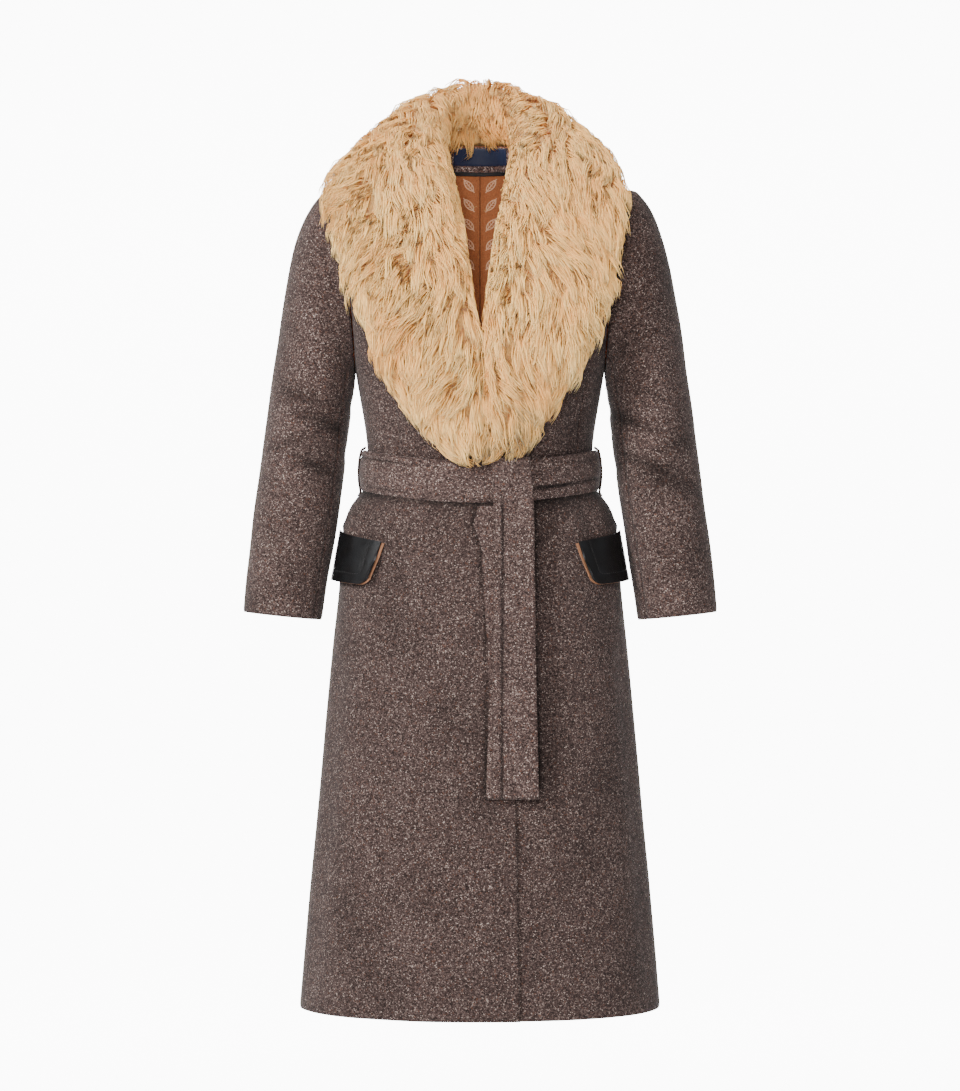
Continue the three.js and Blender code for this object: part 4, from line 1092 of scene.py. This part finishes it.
def lockRoots(side, rng, skin, normals, depth, rowPlaces, spot):
    # where each lock stands, spread evenly over the area that has hair, and how it lies there
    detail = furDetail
    alongRows, around = np.gradient(skin, axis=0), np.gradient(skin, axis=1)
    first, last = detail["haired"]
    weight = np.linalg.norm(np.cross(alongRows, around), axis=2) * ((spot > first) & (spot < last))[None, :]
    count = detail["locks"]
    order = np.cumsum((weight / weight.sum()).reshape(-1))
    cell = np.searchsorted(order, (np.arange(count) + rng.random(count)) / count)
    row = cell // skin.shape[1] + rng.uniform(-0.5, 0.5, count)
    column = cell % skin.shape[1] + rng.uniform(-0.5, 0.5, count)
    point = readGrid(skin, row, column)
    normal, across, down = [normalised(readGrid(grid, row, column)) for grid in (normals, around, alongRows)]
    profile = np.interp(column, range(len(spot)), spot)
    rowPlace = np.interp(row, range(len(rowPlaces)), rowPlaces)
    crest = np.clip((profile - detail["crest"]) / 1.2, -1, 1)[:, None]  # -1 outside, 1 inside the neck
    front = np.clip((rowPlace - 5.0) / 3.0, 0, 1)[:, None]
    tipped = np.clip((rowPlace - 17.0) / 3.0, 0, 1)[:, None]
    inside = np.clip(crest, 0, 1)
    hang = np.array([[0.0, 0.0, -1.0]]) + normal * normal[:, 2:]
    flow = across * crest * (0.85 - 0.35 * front) * (1 - 0.5 * inside * front) * (1 - tipped)
    flow = flow + down * front * (0.28 + 0.45 * inside) + hang * (0.55 + 0.45 * front)
    flow = normalised(flow + tipped * np.array([[-0.4 * side, 0, 0]]))
    front, inside = front[:, 0], inside[:, 0]
    swirl = (0.42 * np.sin(point[:, 0] / 31 + point[:, 2] / 47 + side)
             + 0.3 * np.sin(point[:, 2] / 19 - point[:, 0] / 23) + rng.normal(0, 0.2, count))
    swirl = (swirl * (1 - 0.4 * inside))[:, None]
    flow = normalised(flow * np.cos(swirl) + np.cross(normal, flow) * np.sin(swirl))
    length = rng.uniform(detail["shortest"], detail["longest"], count)
    length *= 1 - detail["inner"] * inside * np.clip(0.35 + 0.65 * front, 0, 1)
    length *= np.interp(rowPlace, *detail["lengths"])
    length *= 0.62 + 0.38 * np.clip((profile - 8.2) / 2.6, 0, 1)  # shorter at the outer edge
    start = point - normal * (np.interp(rowPlace, rowPlaces, depth) * 0.95)[:, None]
    return dict(point=point, start=start, normal=normal, flow=flow, aside=np.cross(normal, flow),
                length=length, profile=profile, rowPlace=rowPlace, front=front, inside=inside)


def lockPaths(rng, root, times):
    # each lock goes up from the hide, over, and down along the flow, in waves
    count = len(root["length"])
    stand = 0.78 + 0.3 * bump(root["profile"] - furDetail["crest"], 0.9)
    droop = 0.35 + 0.35 * rng.random(count)
    marks = [root["start"]]
    step = root["length"] / (len(times) - 1)
    for t in (times[:-1] + times[1:]) / 2:
        up = stand * (1.15 - 2.15 * t)
        direction = normalised(root["flow"] * (0.55 + 0.45 * t) + root["normal"] * up[:, None]
                               + np.array([[0, 0, -1.0]]) * (droop * t)[:, None])
        marks.append(marks[-1] + direction * step[:, None])
    phase, turns = rng.uniform(0, 6.28, count), rng.uniform(0.7, 1.5, count)
    swing = rng.uniform(1.4, 4.6, count)
    wave = np.sin(phase[:, None] + 6.28 * turns[:, None] * times[None]) - np.sin(phase)[:, None]
    wave = wave * swing[:, None] * 1.3 * times[None] ** 1.2
    return np.stack(marks, axis=1) + root["aside"][:, None] * wave[..., None]


def hairPaths(rng, root, lockPath, lock, times):
    # the hairs of each lock start apart and come together towards its tip, some stray
    total = len(lock)
    aside = root["aside"][lock]
    angle, radius = rng.uniform(0, 6.28, total), np.sqrt(rng.random(total))
    offset = root["flow"][lock] * np.cos(angle)[:, None] + aside * np.sin(angle)[:, None]
    offset = offset * (furDetail["scatter"] * radius)[:, None]
    ownLength = rng.uniform(0.8, 1.12, total)
    own = (lockPath[lock] - lockPath[lock][:, :1]) * ownLength[:, None, None]
    tight = 0.34 + 0.4 * rng.random(total)  # how far apart the hairs still are at the tip
    gather = 1 - (1 - tight)[:, None] * times[None] ** 0.75
    gather[rng.random(total) < 0.12] = 1.15
    paths = lockPath[lock][:, :1] + own + offset[:, None] * gather[..., None]
    paths += rng.normal(0, 1, (total, 3))[:, None] * (1.1 * times[None] ** 1.5)[..., None]
    curl = np.sin(rng.uniform(0, 6.28, total)[:, None] + times[None] * 9)
    return paths + aside[:, None] * (curl * 0.55 * times[None])[..., None]


def heldIn(side, rng, root, paths, lock, times):
    # nothing fills the neck opening or reaches far across the join of the two halves
    total, detail = len(lock), furDetail
    drop = -paths[:, :, 2]
    join = np.interp(drop, *detail["join"]) * side - 5
    neck = np.interp(drop, *detail["neck"]) + rng.normal(0, 1.3, total)[:, None] * times
    limit = np.where(drop > detail["joinDrop"], join, neck)
    ownX = paths[..., 0] * side
    ownX = np.where((drop > 60) & (root["rowPlace"][lock] > 6)[:, None], np.maximum(ownX, limit), ownX)
    # the ends are pressed back towards the collar's outline, each lock by its own measure
    ragged = rng.uniform(-4.5, 7.5, detail["locks"])[lock]
    uneven = (rng.normal(0, 1.8, total) + ragged)[:, None] * times[None]
    paths[..., 0] = pressed(side, ownX, paths[..., 2], uneven, 4) * side
    below = np.maximum(0, detail["tipHeight"] - paths[..., 2] + (rng.normal(0, 1.8, total) - ragged)[:, None])
    paths[..., 2] += below - 8 * (1 - np.exp(-below / 12))
    return paths


def hairTints(side, rng, root, lock):
    # how warm and how smoky each hair is
    total, point = len(lock), root["point"]
    field = 0.5 + 0.5 * np.sin(point[:, 0] / 38 + 1.3 * side) * np.sin(point[:, 2] / 52 + 0.7)
    warm = field * 0.6 + root["inside"] * (1 - root["front"]) * 0.65 + rng.normal(0, 0.16, len(point))
    seam = bump(point[:, 0], 16) * (root["rowPlace"] < 2) * (np.abs(root["profile"] - 12.6) < 1.5)
    warm = np.clip(np.clip(warm, 0, 1) + seam * 0.8, 0, 1)
    smokeSide, smokeTip = [bump(point[:, 0] - x, wide) * bump(point[:, 2] - z, high)
                           for x, z, wide, high in (furDetail["smokeSide"], furDetail["smokeTip"])]
    smoke = np.clip((smokeSide * (side > 0) + smokeTip) * rng.uniform(0.1, 1.6, len(point)), 0, 1)
    return (np.clip(warm[lock] + rng.normal(0, 0.12, total), 0, 1),
            np.clip(smoke[lock] * rng.uniform(0.4, 1.3, total), 0, 1))


def furHalf(side):
    detail, name = furDetail, sideName(side)
    rng = np.random.default_rng(detail["seed"] + side)
    skin, hide, normals, depth, rowPlaces, spot = collarSkin(side)
    mesh = sheetMesh(f"collar_hide_{name}", hide, closed=True)
    closeMesh(mesh)
    base = place(f"collar_hide_{name}", mesh, [furHide], "fur", [f"collar_{name}"])
    times = np.linspace(0, 1, len(detail["radii"]))
    lock = np.repeat(np.arange(detail["locks"]), detail["strands"])
    root = lockRoots(side, rng, skin, normals, depth, rowPlaces, spot)
    paths = hairPaths(rng, root, lockPaths(rng, root, times), lock, times)
    paths = heldIn(side, rng, root, paths, lock, times)
    warm, smoke = hairTints(side, rng, root, lock)
    chunk = math.ceil(len(lock) / detail["pieces"])
    for part in range(detail["pieces"]):
        take, label = slice(part * chunk, (part + 1) * chunk), f"fur_{name}_{part + 1}"
        hair = strandMesh(label, paths[take], detail["radii"], dict(warm=warm[take], smoke=smoke[take]))
        place(label, hair, [furStrands], "fur", [])


for side in (1, -1):
    furHalf(side)
print("collar and fur made")

# Belt

belt = dict(
    width=52, sideHeight=-410, crown=([-1, -0.62, 0, 0.62, 1], [1.6, 3.6, 4.2, 2.6, 0.4]),
    steps=220, across=30, edgeRound=3.4,
    # height share, how far it stands out, half width, turn in degrees of its middle, spread
    creases=[(0.66, -2.2, 0.07, 148, 30), (-0.42, -3.4, 0.09, 54, 19), (-0.36, -1.8, 0.07, 24, 14),
             (0.6, -2.0, 0.07, 22, 15), (-0.72, -1.2, 0.07, 140, 22), (0.72, -1.2, 0.06, 250, 40),
             (-0.6, -1.2, 0.07, 300, 34), (-0.72, 1.4, 0.14, 46, 26), (0.88, 1.3, 0.1, 146, 30)],
    endThickness=4.5, endRows=110, endFold=0.23, flatFrom=34,
    # where the front end bends over the band: how far forward, height
    endBend=[(113.65, -396.0), (117.6, -395.6), (121.15, -396.9), (123.3, -400.4)],
)


def roundPoint(turn, z):
    # any place round the waist, by a full turn that starts at +X and goes forward
    side = 1 if math.cos(turn) >= 0 else -1
    x, y, height = bodyPoint(side, turn if side > 0 else math.pi - turn, z)
    lift = 0
    if y < 0:
        lift = coat["overlapLift"] * smooth(-130, -66, x * side) * (1 - smooth(52, 110, x * side))
    return (x * side, y - lift, height)


def beltBand():
    half, under = belt["width"] / 2, 1.1  # under is the gap between the band's inner face and the cloth
    lines, creaseShade = [], []
    for step in range(belt["steps"]):
        degrees = -90 + 360 * step / belt["steps"]
        turn = math.radians(degrees)
        middle = roundPoint(turn, belt["sideHeight"])
        away = unit((middle[0] / 1.9, middle[1], 0))
        line, shade = [], []
        for index in range(belt["across"]):
            share = -math.cos(math.pi * index / (belt["across"] - 1))
            crown = np.interp(share, *belt["crown"])
            fold = 0.0
            for at, high, width, centre, spread in belt["creases"]:
                off = (degrees - centre + 180) % 360 - 180
                fold += high * bump(share - at, width) * bump(off, spread)
            toEdge = half * (1 - abs(share))
            rounding = max(0.0, 1 - toEdge / belt["edgeRound"])
            inner = add(roundPoint(turn, belt["sideHeight"] + share * half), away, under)
            base = add(middle, away, 6.6 + crown)
            gap = dot(minus(base, inner), away)
            out = max(0.0, 2 - gap) + fold - 2.2 * rounding * rounding
            wobble = 0.35 * math.sin(turn * 7 + share * 2.1) + 0.25 * math.sin(turn * 13 - share * 3)
            point = add(base, away, out + wobble)
            line.append((point[0], point[1], middle[2] + share * half))
            # painted shade in the band's creases
            shade.append(clamp01(-fold * 0.42))
        for share in (0.9, 0.5, 0, -0.5, -0.9):
            line.append(add(roundPoint(turn, belt["sideHeight"] + share * half), away, under))
            shade.append(0.0)
        line.append(line[0])
        shade.append(shade[0])
        lines.append(line)
        creaseShade.append(shade)
    lines.append(lines[0])
    creaseShade.append(creaseShade[0])
    points = np.array(lines)
    mesh = sheetMesh("belt_band_cloth", points, np.array(creaseShade), closed=True)
    closeMesh(mesh)
    return place("belt_band_cloth", mesh, [beltTweed], "tweed", ["belt_band"])


def frontFace(x, z):
    # how far forward the lapping front lies
    half, depth = lookup(bodySections, z, halfWidth), lookup(bodySections, z, frontDepth)
    power = coat["squareness"]
    return depth * (1 - (abs(x) / half) ** power) ** (1 / power) + coat["overlapLift"]


# The two loose ends: height, left edge, right edge, and for the front one how far forward at the least
frontEnd = [
    (-405, 13, 62, 119.5), (-416, 15, 64, 120.5), (-434, 16.5, 66, 121), (-456, 16.8, 67, 122),
    (-480, 17, 67.5, 0), (-506, 17, 67.8, 0), (-540, 17, 68, 0), (-610, 16.4, 69, 0), (-680, 15.5, 70, 0),
    (-750, 14.6, 71.5, 0), (-819, 14, 73, 0),
]
backEnd = [
    (-457, -3, 46), (-480, -8.5, 44), (-506, 1, 52), (-540, 3.4, 55), (-610, 7.6, 58), (-680, 11, 60),
    (-750, 9.5, 61), (-820, 7.2, 62),
]


def beltEnd(name, table, overBand):
    heights = np.array([row[0] for row in table], dtype=float)
    fold, thick = belt["endFold"], belt["endThickness"]
    shares = spots(16, (0, 1, fold) if overBand else (0, 1), 0.03)
    lines = []
    for z in np.linspace(heights[0], heights[-1], belt["endRows"]):
        left, right, *least = [np.interp(-z, -heights, column) for column in list(zip(*table))[1:]]
        line = []
        for share in shares:
            x = mix(left, right, share)
            if overBand:
                depth = max(least[0], frontFace(min(belt["flatFrom"], x), z) + thick + 2) + thick
            else:
                depth = frontFace(x, z) + 0.9 + thick
            line.append((x, -depth, z))
        lines.append(line)
    if overBand:
        # the end comes from behind the band and bends over its upper edge
        lines = [[(x, -forward, z) for x, y, top in lines[0]] for forward, z in belt["endBend"]] + lines
    points = np.array(lines)
    normals = outwardNormals(points, np.array([0, -1, 0.2]))
    along = np.array(shares)[None, :]
    width = np.linalg.norm(points[:, -1] - points[:, 0], axis=1)[:, None]
    toEdge = np.minimum(along, 1 - along) * width
    depth = -1.1 * bump(toEdge, 1.6)
    if overBand:
        # the long fold in the end, and the swell beside it
        window = gate(-440 - points[..., 2], 8)
        depth -= 2.0 * bump((along - fold) * width, 2.1) * window
        depth += 0.5 * bump((along - 0.12) * width, 3.5) * window
    depth += unevenness(points, 55, 4 + overBand) * 0.3 * np.clip(toEdge / 8, 0, 1)
    depth -= 0.9 * bump(points[..., 2] - points[-1, :, 2][None], 2.0)
    return clothPiece(name + "_cloth", points, normals, [beltTweed, camelEdge], "tweed", [name], thick, depth,
                      rim=1)


band = beltBand()
endFront, endBack = beltEnd("belt_end_front", frontEnd, True), beltEnd("belt_end_back", backEnd, False)


# Profile: drop from the neck, how far it stands out from the waist's side
loop = dict(profile=([379, 383, 396, 410, 424, 437.5, 442], [0.4, 6.6, 9.5, 10.7, 10.2, 8, 4.7]),
            width=9, thick=2.7, rows=26)


def beltLoop(side):
    half = lookup(bodySections, belt["sideHeight"], halfWidth)
    drops, outs = loop["profile"]
    lines = []
    for share in spots(loop["rows"]):
        z = -mix(drops[0], drops[-1], share)
        x = max(lookup(bodySections, z, halfWidth) - 0.2, half + np.interp(-z, drops, outs)) + loop["thick"]
        lines.append([(x, y * loop["width"], z) for y in np.linspace(-0.5, 0.5, 7)])
    points = np.array(lines)
    normals = outwardNormals(points, np.array([1, 0, 0]))
    name = "belt_loop_" + sideName(side)
    # the loops are darkened all over with painted shade, for the shade at the band's sides
    piece = clothPiece(name + "_cloth", points, normals, [dullTweed], "tweed", [name], loop["thick"],
                       np.zeros(points.shape[:2]), rounded=0.5, shade=0.3, side=side)
    piece.data.shade_flat()


for side in (1, -1):
    beltLoop(side)
print("belt made")


# Pocket flaps

# Inside and down are the stitched line's places as shares of the flap, lengths are in millimetres
flapDetail = dict(columns=34, rows=24, lift=6.4, stitchIn=0.86, stitchDown=0.79,
                  stitchLength=3.0, stitchGap=1.4, stitchGauge=0.32)


def flapGrid(side, shape, columns, rows):
    grid = []
    for v in rows:
        line = []
        for u in columns:
            cut = clamp01((u - 0.84) / 0.16)
            corner = flapCorner * (1 - math.sqrt(max(0.0, 1 - cut * cut)))
            bottom = flapBottom - 4 * u - shape["lower"] + corner
            z = mix(flapTop - flapSlant * u - shape["below"], bottom, v)
            inner = shape["endX"] + flapSlope * v
            endAngle = math.acos(inner / (lookup(bodySections, z, halfWidth) * 1.02))
            point = bodyPoint(side, mix(math.radians(flapStart), endAngle, u), z)
            away = unit((point[0], point[1] * 1.9, 0))
            moved = add(point, away, shape["offset"] + shape["thickness"] + flapDetail["lift"] * v ** 1.25)
            line.append((moved[0] * side, moved[1], moved[2]))
        grid.append(line)
    return np.array(grid)


def flapPiece(side, shape, name, materials, slot, rounded):
    columns, rows = spots(flapDetail["columns"], (0, 1), 0.02), spots(flapDetail["rows"], (0, 1), 0.02)
    points = flapGrid(side, shape, columns, rows)
    normals = outwardNormals(points, points * np.array([1, 1.5, 0]))
    u, v = np.array(columns)[None, :], np.array(rows)[:, None]
    inside, down = flapDetail["stitchIn"], flapDetail["stitchDown"]
    # grooves under the stitches and a swell between them, on the leather only
    depth = -0.5 * (bump(u - inside, 0.016) * (v < down) + bump(v - down, 0.02) * (u < inside))
    depth = (depth + 0.9 * np.sin(np.pi * u) * np.sin(np.pi * v * 0.9)) * shape["grooves"]
    label = f"{name}_{sideName(side)}"
    piece = clothPiece(label + "_cut", points, normals, materials, slot, [label], shape["thickness"], depth,
                       rounded=rounded)
    # the width given is the one seen from in front; along the cloth a flap is about 0.11 wide
    return points + normals * depth[..., None], normals, columns, rows


def stitchRow(name, points, normals, material):
    # small rounded stitches laid along the given places
    made = bmesh.new()
    length = np.concatenate([[0], np.cumsum(np.linalg.norm(np.diff(points, axis=0), axis=1))])
    long, gap, gauge = flapDetail["stitchLength"], flapDetail["stitchGap"], flapDetail["stitchGauge"]
    for index in range(int(length[-1] / (long + gap))):
        ends = [index * (long + gap) + gap / 2, index * (long + gap) + gap / 2 + long]
        tip = [np.array([np.interp(end, length, points[:, axis]) for axis in range(3)]) for end in ends]
        normal = np.array([np.interp(ends[0], length, normals[:, axis]) for axis in range(3)])
        direction = Vector(tip[1] - tip[0]).normalized()
        turned = Vector((0, 0, 1)).rotation_difference(direction).to_matrix().to_4x4()
        turned.translation = Vector((tip[0] + tip[1]) / 2 + normal * gauge * 0.6) * metre
        stitch = bmesh.ops.create_cone(made, cap_ends=True, segments=6, radius1=gauge * metre,
                                       radius2=gauge * metre, depth=long * metre)
        caps = {face for vert in stitch["verts"] for face in vert.link_faces if len(face.verts) == 6}
        rims = list({edge for cap in caps for edge in cap.edges})
        bmesh.ops.transform(made, matrix=turned, verts=stitch["verts"])
        bmesh.ops.bevel(made, geom=rims, offset=gauge * 0.5 * metre, segments=1, profile=0.5,
                        affect="EDGES", material=-1)
    return place(name, finished(name, made), [material], "black_leather", [])


def gridLine(grid, rows, columns, line):
    return np.array([readGrid(grid, np.array([np.interp(v, rows, range(len(rows)))]),
                              np.array([np.interp(u, columns, range(len(columns)))]))[0] for u, v in line])


for side in (1, -1):
    flapPiece(side, flapLining, "flap_lining", [tanLeather], "tan_leather", 0.3)
    face, normals, columns, rows = flapPiece(side, flapLeather, "pocket_flap", [blackLeather],
                                             "black_leather", 0.6)
    inside, down = flapDetail["stitchIn"], flapDetail["stitchDown"]
    route = ([(inside, v) for v in np.linspace(0.02, down - 0.1, 14)]
             + [(inside - 0.06 * (1 - math.cos(t)), down - 0.1 + 0.1 * math.sin(t))
                for t in np.linspace(0.2, math.pi / 2, 6)]
             + [(u, down) for u in np.linspace(inside - 0.08, 0.02, 16)])
    stitchRow(f"flap_stitches_{sideName(side)}", gridLine(face, rows, columns, route),
              gridLine(normals, rows, columns, route), darkThread)
print("pocket flaps made")


# Facing, binding and label on the inner side of the back, below the neck seam

def neckPiece(name, materials, slot, reach, top, bottom, inset, thickness, rounded):
    def wayAt(drop):
        way = 0.0
        while coat["napeHeight"] - panelPoint(False, 1, 1, way)[2] < drop:
            way += 0.001
        return way
    ways = np.linspace(wayAt(top), wayAt(bottom), 9)
    lines, facing = [], []
    for way in ways:
        line, look = [], []
        for column in np.linspace(-1, 1, 41):
            s = 1 - (1 - neckShare) * reach * abs(column)
            normal = panelNormal(False, 1, s, way)
            moved = add(panelPoint(False, 1, s, way), normal, -(coat["cloth"] + inset + thickness))
            sign = 1 if column > 0 else -1
            if column == 0:
                sign, normal = 0, (0, normal[1], normal[2])
            line.append((moved[0] * sign, moved[1], moved[2]))
            look.append((-normal[0] * (sign or 1), -normal[1], -normal[2]))
        lines.append(line)
        facing.append(look)
    points, normals = np.array(lines), np.array(facing)
    piece = clothPiece(name + "_cloth", points, normals, materials, slot, [name], thickness, rounded=rounded)


# Share of the neck's half width, top and bottom below the nape, gap from the cloth, thickness and rounding
neckPiece("neck_facing", [facingTweed], "tweed", 5 / 6, 1, 33, 1.2, 1.2, 0.3)
neckPiece("neck_binding", [blackBinding], "black_binding", 5 / 6, 33.4, 37.4, 1, 2.4, 0.9)
neckPiece("neck_label", [navySatin], "navy_satin", 2 / 6, 2.5, 24.5, 2.8, 0.8, 0.2)
print("neck pieces made")


# Floor, light and camera

# In metres, the floor bends up into the wall from back on; its strip behind the coat glows
studio = dict(floor=-1.62, back=3.2, wide=14, reach=4.5, bend=2.0, paper=0.92, glow=9, world=0.35,
              camera=(0.0, -4.0, -0.506), lens=103.1)


def makeStage():
    made = bmesh.new()
    bmesh.ops.create_grid(made, x_segments=2, y_segments=48, size=studio["wide"] / 2)
    bend = studio["bend"]
    for vert in made.verts:
        y, z = vert.co.y + studio["back"] - studio["wide"] / 2 + studio["reach"], studio["floor"]
        over = y - studio["back"]
        if over > 0:
            angle = min(over / bend, math.pi / 2)
            y = studio["back"] + bend * math.sin(angle)
            z += bend * (1 - math.cos(angle)) + max(0.0, over - bend * math.pi / 2)
        vert.co = (vert.co.x, y, z)
    floor = linked("studioFloor", finished("studioFloor", made))
    paper = Shader("studioPaper", Roughness=0.9, Specular_IOR_Level=0.1)
    paper.surface.inputs["Base Color"].default_value = (*[studio["paper"]] * 3, 1)
    place = paper.objectPlace()
    glow = abs(paper.part(place, 0)).ramp(1.9, 3.2, 1.0, 0.0) * paper.part(place, 1).ramp(1.2, 2.4)
    paper.feed(Emission_Color=paper.grey(glow))
    paper.surface.inputs["Emission Strength"].default_value = studio["glow"]
    floor.data.materials.append(paper.material)


def softLight(name, where, target, size, power):
    light = bpy.data.lights.new(name, "AREA")
    light.shape, light.size, light.energy = "DISK", size, power
    lamp = linked(name, light)
    lamp.location = where
    lamp.rotation_euler = (Vector(target) - Vector(where)).to_track_quat("-Z", "Y").to_euler()


makeStage()
world = bpy.data.worlds.new("studio")
world.use_nodes = True
sky = world.node_tree.nodes["Background"].inputs
sky[0].default_value, sky[1].default_value = (1, 1, 1, 1), studio["world"]
bpy.context.scene.world = world
softLight("keyLight", (-2.3, -2.5, 1.0), (-0.05, 0, -0.25), 0.9, 160)
softLight("frontLight", (-0.2, -3.6, 0.3), (0, 0, -0.15), 0.6, 92)
softLight("fillLight", (2.6, -3.2, 0.2), (0, 0, -0.6), 2.2, 8)
softLight("topLight", (-0.3, 0.4, 2.2), (0, 0, -0.1), 1.2, 36)
camera = linked("camera", bpy.data.cameras.new("camera"))
camera.location = studio["camera"]
camera.rotation_euler = (math.radians(90), 0, 0)
camera.data.sensor_width = 36
camera.data.lens = studio["lens"]
camera.data.clip_end = 60
bpy.context.scene.camera = camera
print("scene ready")
